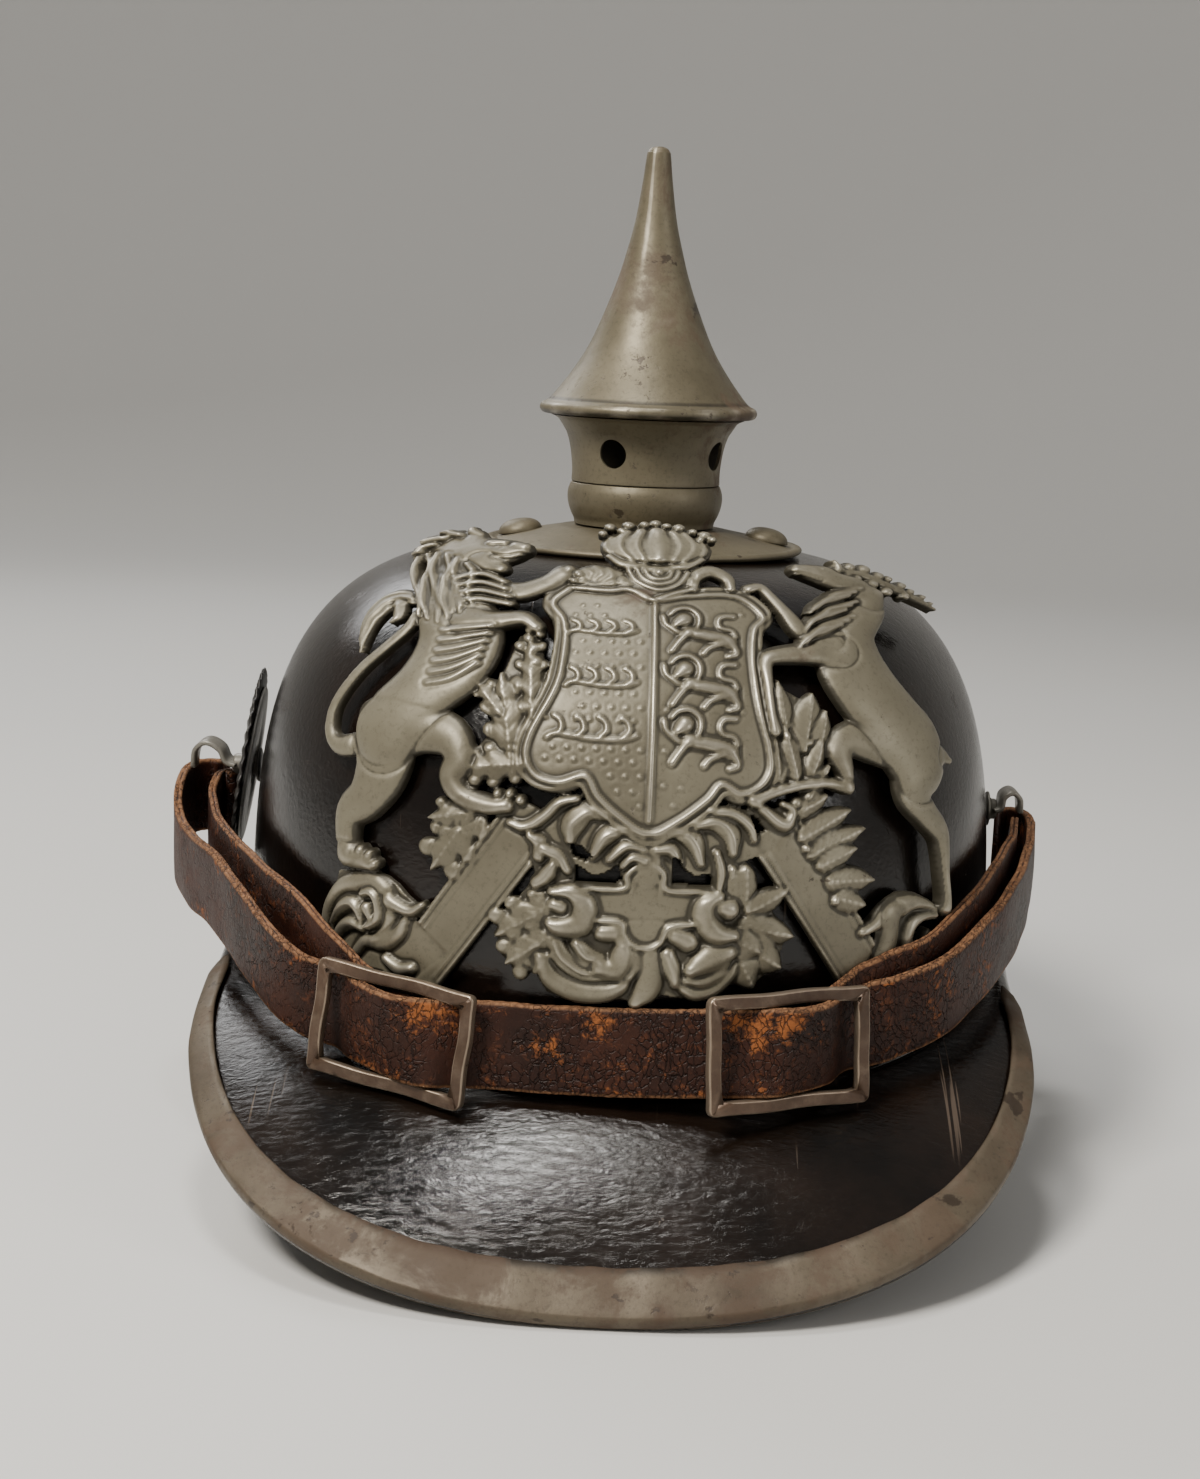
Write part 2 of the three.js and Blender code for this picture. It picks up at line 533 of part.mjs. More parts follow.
function makeFlatPlate() {
  const solids = LIMB_TABLES.flat().map(([height, rounds]) => slab(limbOutline(rounds), height));
  const other = SHIELD_SIDE.slice(1, -1).reverse().map(([u, v]) => [-u, v]);
  const shield = [...SHIELD_SIDE, ...other];
  const field = shield.map(([u, v]) => [u * (1 - SHIELD_RIM / 24), 68 + (v - 68) * (1 - SHIELD_RIM / 26)]);
  let plate = solids[0];
  solids.slice(1).forEach((solid) => {
    plate = plate.add(solid);
  });
  plate = plate.subtract(slab(shield, 9)).add(slab(shield, HIGH));
  plate = plate.subtract(slab(field, 9, HIGH - SHIELD_SINK));
  plate = plate.add(bar([0, 93, 0.7], [0, 40], HIGH));
  [84, 71, 58].forEach((v) => {
    plate = plate.add(bar([-17, v, 1.2], [-4, v], HIGH, 1));
    plate = plate.add(slab(limbOutline([[5, v - 2, 2], [15, v + 1, 2.4]]), HIGH, 1));
  });
  RIBBONS.forEach(([top, foot]) => {
    // the same ribbon, drawn in by `inset` on every side
    const ribbon = (inset, height, floor = 0) => {
      const step = inset / Math.hypot(top[0] - foot[0], top[1] - foot[1]);
      const near = (a, b) => [mix(a[0], b[0], step), mix(a[1], b[1], step), top[2] - inset];
      return bar(near(top, foot), near(foot, top), height, floor);
    };
    plate = plate.subtract(ribbon(0.3, 9)).add(ribbon(0, LOW)).subtract(ribbon(1.6, 9, LOW - 0.7));
  });
  return plate.add(slab(CARTOUCHE, HIGH));
}

// halves every edge over a length until none is left, so that a flat face can bend
function split(geometry, longest) {
  let spots = [];
  const from = geometry.attributes.position;
  for (let i = 0; i < from.count; i += 1) {
    spots.push(new THREE.Vector3().fromBufferAttribute(from, i));
  }
  let faces = [];
  for (let i = 0; i < geometry.index.count; i += 3) {
    faces.push([0, 1, 2].map((k) => geometry.index.getX(i + k)));
  }
  let busy = true;
  while (busy) {
    const middles = new Map();
    const middle = (a, b) => {
      const key = a < b ? `${a} ${b}` : `${b} ${a}`;
      if (!middles.has(key)) {
        middles.set(key, spots.push(spots[a].clone().lerp(spots[b], 0.5)) - 1);
      }
      return middles.get(key);
    };
    const cuts = faces.map((face) => {
      const sides = face.map((a, k) => spots[a].distanceTo(spots[face[(k + 1) % 3]]));
      const far = sides.indexOf(Math.max(...sides));
      return sides[far] > longest ? [face[far], face[(far + 1) % 3]] : null;
    });
    cuts.filter(Boolean).forEach(([a, b]) => middle(a, b));
    busy = middles.size > 0;
    faces = faces.flatMap((face) => {
      const key = (k) => {
        const [a, b] = [face[k], face[(k + 1) % 3]];
        return a < b ? `${a} ${b}` : `${b} ${a}`;
      };
      const marks = [0, 1, 2].filter((k) => middles.has(key(k)));
      if (marks.length === 0) {
        return [face];
      }
      const k = marks.length === 2 && (marks[0] + 1) % 3 !== marks[1] ? marks[1] : marks[0];
      const [a, b, c] = [face[k], face[(k + 1) % 3], face[(k + 2) % 3]];
      const ab = middles.get(key(k));
      if (marks.length === 1) {
        return [[a, ab, c], [ab, b, c]];
      }
      const bc = middles.get(key((k + 1) % 3));
      if (marks.length === 2) {
        return [[ab, b, bc], [a, ab, bc], [a, bc, c]];
      }
      const ca = middles.get(key((k + 2) % 3));
      return [[a, ab, ca], [ab, b, bc], [ca, bc, c], [ab, bc, ca]];
    });
  }
  const fine = new THREE.BufferGeometry().setFromPoints(spots);
  return fine.setIndex(faces.flat());
}

const flatPlate = split(geometryOf(makeFlatPlate().simplify(PLATE_SMOOTHING)), PLATE_EDGE_MAX);
add('helmet_plate', shaped(flatPlate, onPlate), GREY_STEEL);

// ---- chin strap ----------------------------------------------------------------------------------

// a smooth line through rows of [x, y, z]
function pathThrough(rows) {
  return new THREE.CatmullRomCurve3(rows.map((row) => new THREE.Vector3(...row)), false, 'centripetal');
}

// a band of leather on edge along a path of [x, y, z] rows through its middle
function makeBand(rows, steps, thickness, width) {
  const path = pathThrough(rows);
  const [w, t] = [width / 2, thickness / 2];
  return swept([[-w, -t], [w, -t], [w, t], [-w, t]], steps, (a, b, s) => {
    const along = path.getTangentAt(s);
    const up = new THREE.Vector3(0, 0, 1).addScaledVector(along, -along.z).normalize();
    const out = along.clone().cross(up);
    const facing = Math.max(-out.y, 0);
    const lean = radians(mix(STRAP_LEAN_SIDE, STRAP_LEAN_FRONT, facing ** 10)) * facing ** 2;
    up.applyAxisAngle(along, lean);
    out.applyAxisAngle(along, lean);
    return path.getPointAt(s).addScaledVector(up, a).addScaledVector(out, b);
  });
}

// from the loop behind the left post, through both buckles, to the loop behind the right post
const STRAP_OUTER = [
  [-104.6, 7.4, 70.6], [-108.4, 10.4, 70.6], [-112.4, 6, 70.6], [-113.4, -4, 69], [-112.2, -16, 62.8],
  [-105.8, -31, 60.2], [-97.6, -46.8, 59.6], [-87.4, -67.8, 55.6], [-78, -82.4, 51], [-70.6, -89.6, 47.8],
  [-61.7, -94.1, 46.2], [-56.5, -101.4, 45.8], [-49.1, -107.2, 45], [-40.3, -109.6, 44.6],
  [-30.3, -109.3, 44.3],
  [-15, -112.2, 44.4], [0, -113.4, 44.8], [15.5, -113.9, 45.6], [25.4, -114.3, 46.2], [34.3, -112, 46.6],
  [42.2, -106.6, 46.9], [47.2, -98, 47.2], [58.4, -93.8, 49.6], [70, -86, 52.8], [81.8, -67.4, 57.4],
  [90.6, -46, 62], [97, -24, 64.6], [100, -6, 66.6], [99.4, 4.4, 67.2], [96.4, 8, 67.2], [93.6, 5.6, 67.2],
];
add('strap_outer', makeBand(STRAP_OUTER, 64, STRAP_THICK, STRAP_WIDTH), STRAP_LEATHER);

// the second layer of each side, sewn round its post and tucked in behind the buckle
const STRAP_INNER = {
  left: [
    [-105.2, -2.6, 69.8], [-104.2, -16, 67.4], [-99.4, -33, 65.6], [-90.8, -52.2, 64.2],
    [-82, -68.4, 62], [-72.8, -82, 59.6], [-66.8, -89.4, 55.6],
  ],
  right: [
    [55.9, -92.6, 54.4], [66.4, -85.5, 57.4], [77.8, -67, 63], [86, -47.6, 66.4],
    [92.6, -26, 67.6], [96.2, -6, 68],
  ],
};
Object.entries(STRAP_INNER).forEach(([side, rows]) => {
  add(`strap_inner_${side}`, makeBand(rows, 18, STRAP_THICK, STRAP_WIDTH), STRAP_LEATHER);
});

// ---- buckles ----------------------------------------------------------------------------------------

const BUCKLES = {
  left: { at: [-49.2, -106.7, 45], width: 38.4, height: 24.8, turn: -26, roll: 4 },
  right: { at: [34.5, -111.7, 46.4], width: 38.4, height: 25, turn: 26, roll: 0.5 },
};

function makeBuckle({ width, height }) {
  const frame = (inset, corner) => {
    const [w, h] = [width / 2 - inset, height / 2 - inset];
    return [
      [-w, corner - h], [corner - w, -h], [w - corner, -h], [w, corner - h],
      [w, h - corner], [w - corner, h], [corner - w, h], [-w, h - corner],
    ].map(([x, y]) => new THREE.Vector2(x, y));
  };
  const shape = new THREE.Shape(frame(0, 1.6));
  shape.holes.push(new THREE.Path(frame(BUCKLE_BAR, 0.7)));
  const wire = new THREE.ExtrudeGeometry(shape, { depth: BUCKLE_THICK, bevelEnabled: false });
  wire.translate(0, 0, -BUCKLE_THICK / 2);
  return wire.rotateX(Math.PI / 2);
}

Object.entries(BUCKLES).forEach(([side, buckle]) => {
  const mesh = add(`buckle_${side}`, makeBuckle(buckle), BUCKLE_STEEL);
  mesh.position.set(...buckle.at);
  mesh.rotation.set(radians(-BUCKLE_TILT), radians(buckle.roll), radians(buckle.turn), 'ZYX');
});

// ---- side posts and the cockade -----------------------------------------------------------------------

// each post is riveted to the skull and ends in a sheet hook that keeps the strap's loop on;
// its hook's rows are [x, z], and `out` is -1 on the left
const POSTS = {
  left: {
    out: -1, seat: -94.5, z: 81,
    hook: [[-100.6, 81], [-103, 82], [-104.6, 85], [-108, 86.6], [-110.8, 84.6], [-111.4, 80]],
  },
  right: {
    out: 1, seat: 89.5, z: 77.4,
    hook: [[91.4, 77.4], [93, 78.4], [93.6, 81], [95.6, 82.2], [97.6, 80.6], [98, 77]],
  },
};
const HOOK_WIDTH = 9;
const HOOK_METAL = 1.2;
const SHAFT_R = 2.6;
const FOOT_R = 4.4;                 // rivet head on the skull

function makePost({ out, seat, z, hook }) {
  const path = pathThrough(hook.map(([x, high]) => [x, 0, high]));
  const [w, t] = [HOOK_WIDTH / 2, HOOK_METAL / 2];
  const band = swept([[-w, -t], [w, -t], [w, t], [-w, t]], 10, (a, b, s) => {
    const along = path.getTangentAt(s);
    const across = new THREE.Vector3(0, -out, 0);
    const up = along.clone().cross(across);
    return path.getPointAt(s).addScaledVector(across, a).addScaledVector(up, b);
  });
  const length = Math.abs(hook[1][0] - seat);
  const tip = length - 0.6;
  const shaft = turned([[0, 0], [FOOT_R, 0], [FOOT_R, 0.6], [SHAFT_R, 0.7], [SHAFT_R, tip], [0, tip]], 10);
  shaft.rotateY(out * Math.PI / 2);
  shaft.translate(seat + out * (GAP + 0.2), 0, z);
  return geometryOf(solidOf(band).add(solidOf(shaft)));
}

Object.entries(POSTS).forEach(([side, post]) => {
  add(`side_post_${side}`, makePost(post), GREY_STEEL);
});

function makeCockade() {
  const teeth = [];
  for (let i = 0; i < 2 * COCKADE_TEETH; i += 1) {
    const angle = i * Math.PI / COCKADE_TEETH;
    const r = COCKADE_R - (i % 2);
    teeth.push(new THREE.Vector2(r * Math.cos(angle), r * Math.sin(angle)));
  }
  const shape = new THREE.Shape(teeth);
  shape.holes.push(new THREE.Path().absarc(0, 0, SHAFT_R + 0.5, 0, 2 * Math.PI));
  const disc = new THREE.ExtrudeGeometry(shape, { depth: 1, bevelEnabled: false, curveSegments: 5 });
  return shaped(disc, (x, y, z) => new THREE.Vector3(x, y, z + 1.5 * (1 - Math.hypot(x, y) / COCKADE_R)));
}

const COCKADE_AT = [-97.4, 0, 81];
const COCKADE_TURN = new THREE.Euler(0, radians(-82), radians(4), 'ZYX');
const cockade = add('cockade', makeCockade(), BLACK_PAINT);
cockade.position.set(...COCKADE_AT);
cockade.rotation.copy(COCKADE_TURN);
const ring = add('cockade_ring', turned([[5, -0.4], [20, -0.4], [20, -1.2], [5, -1.2]], 20), GREY_STEEL);
ring.position.set(...COCKADE_AT);
ring.rotation.copy(COCKADE_TURN);

export default group;
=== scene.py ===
from math import atan2, cos, degrees, exp, hypot, pi, radians, sin

import bmesh
import bpy
import numpy as np
from mathutils import Matrix, Vector


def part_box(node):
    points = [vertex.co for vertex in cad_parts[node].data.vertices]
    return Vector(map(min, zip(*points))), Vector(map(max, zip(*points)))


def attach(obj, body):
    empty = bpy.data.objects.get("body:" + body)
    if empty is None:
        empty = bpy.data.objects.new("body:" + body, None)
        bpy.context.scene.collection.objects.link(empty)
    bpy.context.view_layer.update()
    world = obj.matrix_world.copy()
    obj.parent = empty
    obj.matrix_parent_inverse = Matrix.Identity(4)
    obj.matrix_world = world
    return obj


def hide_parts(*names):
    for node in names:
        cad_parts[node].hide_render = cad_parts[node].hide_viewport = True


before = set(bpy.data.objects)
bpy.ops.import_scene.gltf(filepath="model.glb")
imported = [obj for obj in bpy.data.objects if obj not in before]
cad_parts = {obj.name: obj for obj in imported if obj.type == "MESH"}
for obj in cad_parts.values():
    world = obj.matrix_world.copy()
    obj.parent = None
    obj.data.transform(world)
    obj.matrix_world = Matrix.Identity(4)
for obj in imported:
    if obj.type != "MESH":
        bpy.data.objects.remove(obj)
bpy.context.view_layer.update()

# ---- camera, studio light and floor --------------------------------------------------
# The helmet stands on a plain pale table and is seen from the front, a little above
# its brim, from about 0.6 m: near enough for the brim to look larger than the dome.

scene = bpy.context.scene
eye = bpy.data.objects.new("camera", bpy.data.cameras.new("camera"))
scene.collection.objects.link(eye)
MM = 0.001                                    # pieces are sized in mm, the scene in metres
EYE = Vector((5.14, -574.0, 192.33)) * MM
pitch, yaw, roll = radians(9.91), radians(-0.72), radians(2.24)
ahead = Vector((sin(yaw) * cos(pitch), cos(yaw) * cos(pitch), -sin(pitch)))
level = ahead.cross(Vector((0, 0, 1))).normalized()
aloft = level.cross(ahead)
side = level * cos(roll) + aloft * sin(roll)
top = aloft * cos(roll) - level * sin(roll)
eye.matrix_world = Matrix((
    (side.x, top.x, -ahead.x, EYE.x),
    (side.y, top.y, -ahead.y, EYE.y),
    (side.z, top.z, -ahead.z, EYE.z),
    (0, 0, 0, 1),
))
eye.data.sensor_fit = "AUTO"
eye.data.sensor_width = 36
eye.data.lens = 56.7
eye.data.clip_start = 0.01
scene.camera = eye


def lamp(name, place, target, size, power, colour):
    """A soft rectangular lamp aimed at a target."""
    light = bpy.data.lights.new(name, "AREA")
    light.shape = "RECTANGLE"
    light.size, light.size_y = size
    light.energy = power
    light.color = colour
    ob = bpy.data.objects.new(name, light)
    ob.location = place
    ob.rotation_euler = (Vector(target) - Vector(place)).to_track_quat("-Z", "Y").to_euler()
    scene.collection.objects.link(ob)


lamp("key_light", (-0.5, -0.62, 1.0), (0, 0, 0.12), (0.3, 0.3), 19.5, (1.0, 0.95, 0.87))
lamp("fill_light", (1.1, -0.7, 0.55), (0, 0, 0.1), (0.4, 0.8), 3.6, (1.0, 0.98, 0.95))
lamp("top_light", (-0.12, -0.06, 1.15), (0, 0, 0.1), (0.2, 0.2), 5, (1, 0.98, 0.94))
lamp("rim_light", (-0.6, 0.9, 0.9), (0, 0, 0.12), (0.6, 0.6), 6, (1, 1, 1))

world = bpy.data.worlds.new("studio")
world.use_nodes = True
world.node_tree.nodes["Background"].inputs["Color"].default_value = (1.0, 0.98, 0.95, 1)
world.node_tree.nodes["Background"].inputs["Strength"].default_value = 0.26
scene.world = world


class Socket:
    """One shader value; sums, differences and products of it add their own Math nodes."""

    def __init__(self, tree, socket):
        self.tree = tree
        self.socket = socket

    def node(self, kind, settings=None, values=None, out=0):
        """Any other node: its settings first, then the values or links of its sockets."""
        made = self.tree.nodes.new(kind)
        for key, value in (settings or {}).items():
            if key == "stops":
                ramp = made.color_ramp
                while len(ramp.elements) < len(value):
                    ramp.elements.new(0.5)
                for stop, (at, colour) in zip(ramp.elements, value):
                    stop.position = at
                    stop.color = (*colour, 1)
            else:
                setattr(made, key, value)
        for key, value in (values or {}).items():
            if isinstance(value, Socket):
                self.tree.links.new(value.socket, made.inputs[key])
            else:
                made.inputs[key].default_value = value
        return Socket(self.tree, made.outputs[out])

    def _math(self, operation, *terms):
        values = dict(enumerate(terms))
        return self.node("ShaderNodeMath", {"operation": operation}, values)

    def __add__(self, other):
        return self._math("ADD", self, other)

    def __sub__(self, other):
        return self._math("SUBTRACT", self, other)

    def __rsub__(self, other):
        return self._math("SUBTRACT", other, self)

    def __mul__(self, other):
        return self._math("MULTIPLY", self, other)

    __radd__ = __add__
    __rmul__ = __mul__

    def larger(self, other):
        return self._math("MAXIMUM", self, other)

    def smaller(self, other):
        return self._math("MINIMUM", self, other)

    def step(self, low, high, to_low=0.0, to_high=1.0):
        """A smooth rise from one value to another between two levels."""
        values = {"Value": self, "From Min": low, "From Max": high, "To Min": to_low,
                  "To Max": to_high}
        return self.node("ShaderNodeMapRange", {"interpolation_type": "SMOOTHSTEP"}, values)

    def noise(self, scale, detail=3.0, rough=0.55, warp=0.0):
        """Cloudy noise read at this place."""
        values = {"Vector": self, "Scale": scale, "Detail": detail, "Roughness": rough,
                  "Distortion": warp}
        return self.node("ShaderNodeTexNoise", None, values)

    def cells(self, scale, feature="F1"):
        """Distances in a pattern of cells read at this place."""
        return self.node("ShaderNodeTexVoronoi", {"feature": feature},
                         {"Vector": self, "Scale": scale})

    def ramp(self, *stops):
        """A colour that runs through the given (level, colour) stops."""
        return self.node("ShaderNodeValToRGB", {"stops": stops}, {"Fac": self})

    def blend(self, factor, other):
        """This colour mixed with another; inputs 0, 6, 7 and output 2 are the colour ones."""
        other = other if isinstance(other, Socket) else (*other, 1)
        return self.node("ShaderNodeMix", {"data_type": "RGBA"}, {0: factor, 6: self, 7: other}, 2)

    def painted(self, attribute):
        """A value painted on the mesh's points."""
        return self.node("ShaderNodeAttribute", {"attribute_name": attribute}, None, 2)

    def scaled(self, x, y, z, move=(0, 0, 0)):
        """This place stretched and moved, for a pattern that runs one way."""
        values = {"Vector": self, "Scale": (x, y, z), "Location": move}
        return self.node("ShaderNodeMapping", None, values)

    def bumped(self, strength, depth, under=None):
        """The normal of this height, laid over the bump under it."""
        values = {"Height": self, "Strength": strength, "Distance": depth}
        if under is not None:
            values["Normal"] = under
        return self.node("ShaderNodeBump", None, values)


def new_material(name):
    """A new material with its shader and its Object coordinates."""
    mat = bpy.data.materials.new(name)
    mat.use_nodes = True
    tree = mat.node_tree
    shader = tree.nodes["Principled BSDF"]
    coords = tree.nodes.new("ShaderNodeTexCoord")
    return mat, shader, Socket(tree, coords.outputs["Object"])


def wire(shader, **links):
    """Feeds varying values to the shader's sockets."""
    names = {"colour": "Base Color", "rough": "Roughness", "metal": "Metallic", "normal": "Normal"}
    for key, value in links.items():
        value.tree.links.new(value.socket, shader.inputs[names[key]])


FLOOR_END, SWEEP_R = 1.3, 0.9                 # the paper lies flat, then curves up all round
floor_mesh = bmesh.new()
bmesh.ops.create_grid(floor_mesh, x_segments=60, y_segments=60, size=3)
for vert in floor_mesh.verts:
    reach = hypot(vert.co.x, vert.co.y)
    past = reach - FLOOR_END
    if past > 0:
        bend = min(past / SWEEP_R, pi / 2)
        shrink = (FLOOR_END + SWEEP_R * sin(bend)) / reach
        rise = SWEEP_R * (1 - cos(bend)) + max(past - SWEEP_R * pi / 2, 0)
        vert.co = (vert.co.x * shrink, vert.co.y * shrink, rise)
floor = bpy.data.objects.new("paper_sweep", bpy.data.meshes.new("paper_sweep"))
floor_mesh.to_mesh(floor.data)
floor.data.polygons.foreach_set("use_smooth", [True] * len(floor.data.polygons))
scene.collection.objects.link(floor)
mat, shader, place = new_material("pale_table")
shader.inputs["Base Color"].default_value = (0.62, 0.615, 0.6, 1)
tone = place.noise(3, 2)
wire(shader, rough=tone.step(0.3, 0.7, to_low=0.62, to_high=0.72))
floor.data.materials.append(mat)

# ---- skull ---------------------------------------------------------------------------
# The dome is one piece of thick hide, blocked wet over a form on an oval plan, then
# filled and lacquered black; age has crackled the lacquer and rubbed it in places.

low, high = (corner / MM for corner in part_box("skull"))
SKULL_X = (low.x + high.x) / 2
SKULL_Y = (low.y + high.y) / 2
HALF_WIDTH = (high.x - low.x) / 2
HALF_LENGTH = (high.y - low.y) / 2
BASE_Z, CROWN_Z = 30.0, high.z
WALL = 2.4
PLAN_POWER, DOME_POWER = 2.15, 3.8
HOLE_R = 12.5
AXIS_X, AXIS_Y = 6.6, 6.0                     # the spike stands a little off the middle
RIM_FRONT_Z, RIM_SIDE_Z, RIM_REAR_Z, RIM_BLEND_Z = 30.2, 46.0, 44.0, 78.0


def rim_height(angle):
    """How high the skull's lower edge stands, by the angle from the front."""
    end = RIM_FRONT_Z if cos(angle) > 0 else RIM_REAR_Z
    return RIM_SIDE_Z + (end - RIM_SIDE_Z) * abs(cos(angle))


def on_dome(angle, z, inset=0.0):
    """The point of the dome at an angle from the front, inset below its outer face."""
    lift = max(z - BASE_Z, 0) / (CROWN_Z - BASE_Z - inset)
    shrink = max(1 - lift ** DOME_POWER, 0) ** (1 / DOME_POWER)
    sx = abs(sin(angle) / (HALF_WIDTH - inset)) ** PLAN_POWER
    sy = abs(cos(angle) / (HALF_LENGTH - inset)) ** PLAN_POWER
    r = shrink * (sx + sy) ** (-1 / PLAN_POWER)
    return Vector((SKULL_X + r * sin(angle), SKULL_Y - r * cos(angle), z))


def turned(rows, steps, close=False):
    """A bmesh turned round Z from a profile of (radius, z) rows."""
    mesh = bmesh.new()
    spots = [mesh.verts.new((r, 0, z)) for r, z in rows]
    pairs = zip(spots, spots[1:] + spots[:1]) if close else zip(spots, spots[1:])
    edges = [mesh.edges.new(pair) for pair in pairs]
    bmesh.ops.spin(mesh, geom=spots + edges, cent=(0, 0, 0), axis=(0, 0, 1), dvec=(0, 0, 0),
                   angle=2 * pi, steps=steps, use_merge=True, use_duplicate=False)
    bmesh.ops.remove_doubles(mesh, verts=mesh.verts, dist=1e-4)
    bmesh.ops.recalc_face_normals(mesh, faces=mesh.faces)
    return mesh


def finished(name, mesh, material, body="shell", replaces=()):
    """Turns a bmesh in millimetres into a piece that rides on a body."""
    bmesh.ops.scale(mesh, vec=(MM, MM, MM), verts=mesh.verts)
    ob = bpy.data.objects.new(name, bpy.data.meshes.new(name))
    mesh.to_mesh(ob.data)
    mesh.free()
    scene.collection.objects.link(ob)
    ob.data.materials.append(material)
    ob.data.polygons.foreach_set("use_smooth", [True] * len(ob.data.polygons))
    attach(ob, body)
    if replaces:
        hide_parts(*replaces)
    return ob


# the profile's radius is 1 on the outer face and 0.5 on the inner one, until it is placed
LEVELS, DOME_STEPS = 44, 144
lifts = [sin(i / LEVELS * pi / 2) for i in range(LEVELS)]
outer = [(1.0, BASE_Z + (CROWN_Z - BASE_Z) * lift) for lift in lifts]
inner = [(0.5, BASE_Z + (CROWN_Z - BASE_Z - WALL) * lift) for lift in lifts]
rim_edge = [(0.62, BASE_Z - 0.5), (0.75, BASE_Z - 0.8), (0.9, BASE_Z - 0.5)]
hole = [(1.0, CROWN_Z), (0.5, CROWN_Z - WALL)]
mesh = turned(inner[::-1] + rim_edge + outer + hole, DOME_STEPS, close=True)
for vert in mesh.verts:
    x, y, z = vert.co
    angle = atan2(x, -y)
    r = hypot(x, y)
    inset = (1 - r) * 2 * WALL
    if z > CROWN_Z - inset - 0.01:
        vert.co = (AXIS_X + HOLE_R * sin(angle), SKULL_Y - HOLE_R * cos(angle), z - 0.05)
    elif z < RIM_BLEND_Z:
        rim = rim_height(angle)
        share = (z - BASE_Z) / (RIM_BLEND_Z - BASE_Z)
        vert.co = on_dome(angle, rim + (RIM_BLEND_Z - rim) * share, inset)
    else:
        vert.co = on_dome(angle, z, inset)
bmesh.ops.recalc_face_normals(mesh, faces=mesh.faces)


def lacquered_leather(name, dark, brown, gloss, crackle):
    """Black lacquer on hide: fine wrinkles, long scratches and scuffs down to brown."""
    mat, shader, place = new_material(name)
    mottle = place.noise(30, 5, 0.6)
    wrinkle = place.scaled(0.6, 1.5, 1.5).noise(380, 5, 0.62, 0.9)
    pebble = place.scaled(1.1, 1.6, 1.6).cells(520, "F1")
    scuff = place.scaled(1, 1, 2.2, (0.01, 0.02, 0.03)).noise(24, 8, 0.7, 0.6).step(0.6, 0.74)
    nick = place.noise(150, 7, 0.75, 0.4).step(0.70, 0.74)
    line = place.scaled(620, 13, 15).noise(1, 2, 0.5).step(0.68, 0.72)
    scratch = line * place.noise(16, 3).step(0.50, 0.62)
    base = mottle.ramp((0.35, dark), (0.75, brown))
    warm = base.blend(scuff * 0.35, tuple(2.2 * c for c in brown))
    colour = warm.blend(nick * 0.5, (0.12, 0.08, 0.05)).blend(scratch * 0.4, (0.16, 0.12, 0.09))
    rough = mottle.step(0.3, 0.75, gloss, gloss + 0.1) + scuff * 0.18 + nick * 0.25 + pebble * 0.05
    relief = place.noise(13, 2).bumped(0.3, 0.0012)
    relief = wrinkle.bumped(0.5, crackle, relief)
    relief = (pebble - scratch * 0.8 - nick).bumped(0.3, 0.00009, relief)
    wire(shader, colour=colour, rough=rough, normal=relief)
    shader.inputs["Specular IOR Level"].default_value = 0.42
    return mat


skull_leather = lacquered_leather("skull_leather", (0.0022, 0.0016, 0.0013),
                                  (0.009, 0.0048, 0.003), gloss=0.13, crackle=0.00014)
finished("leather_skull", mesh, skull_leather, replaces=["skull"])

# ---- visors --------------------------------------------------------------------------
# Each visor is cut from flat hide, dished to shape and sewn to the skull's lower edge;
# the front one is longer, squarer and lacquered to a gloss that has cracked and scratched.

GAP = 0.3
VISOR_THICK = 2.6
VISOR_LAP = 2.6
END_ANGLE, FADE_ANGLE = 96, 66
TRIM_WIDTH, TRIM_METAL = 11.5, 0.8
FRONT_VISOR = dict(x=4.0, y=-24.0, reach_x=97.2, reach_y=121.0, power=2.75, rise=49.0,
                   rise_power=1.04, crown=4.0, lowest=0.5, lap=80, side=-1)
REAR_VISOR = dict(x=4.0, y=31.0, reach_x=96.0, reach_y=115.0, power=2.5, rise=49.0,
                  rise_power=1.1, crown=3.0, lowest=-0.8, lap=82, side=1)


def smooth_share(value, low, high):
    """0 below low, 1 above high and a smooth rise between."""
    t = min(max((value - low) / (high - low), 0), 1)
    return t * t * (3 - 2 * t)


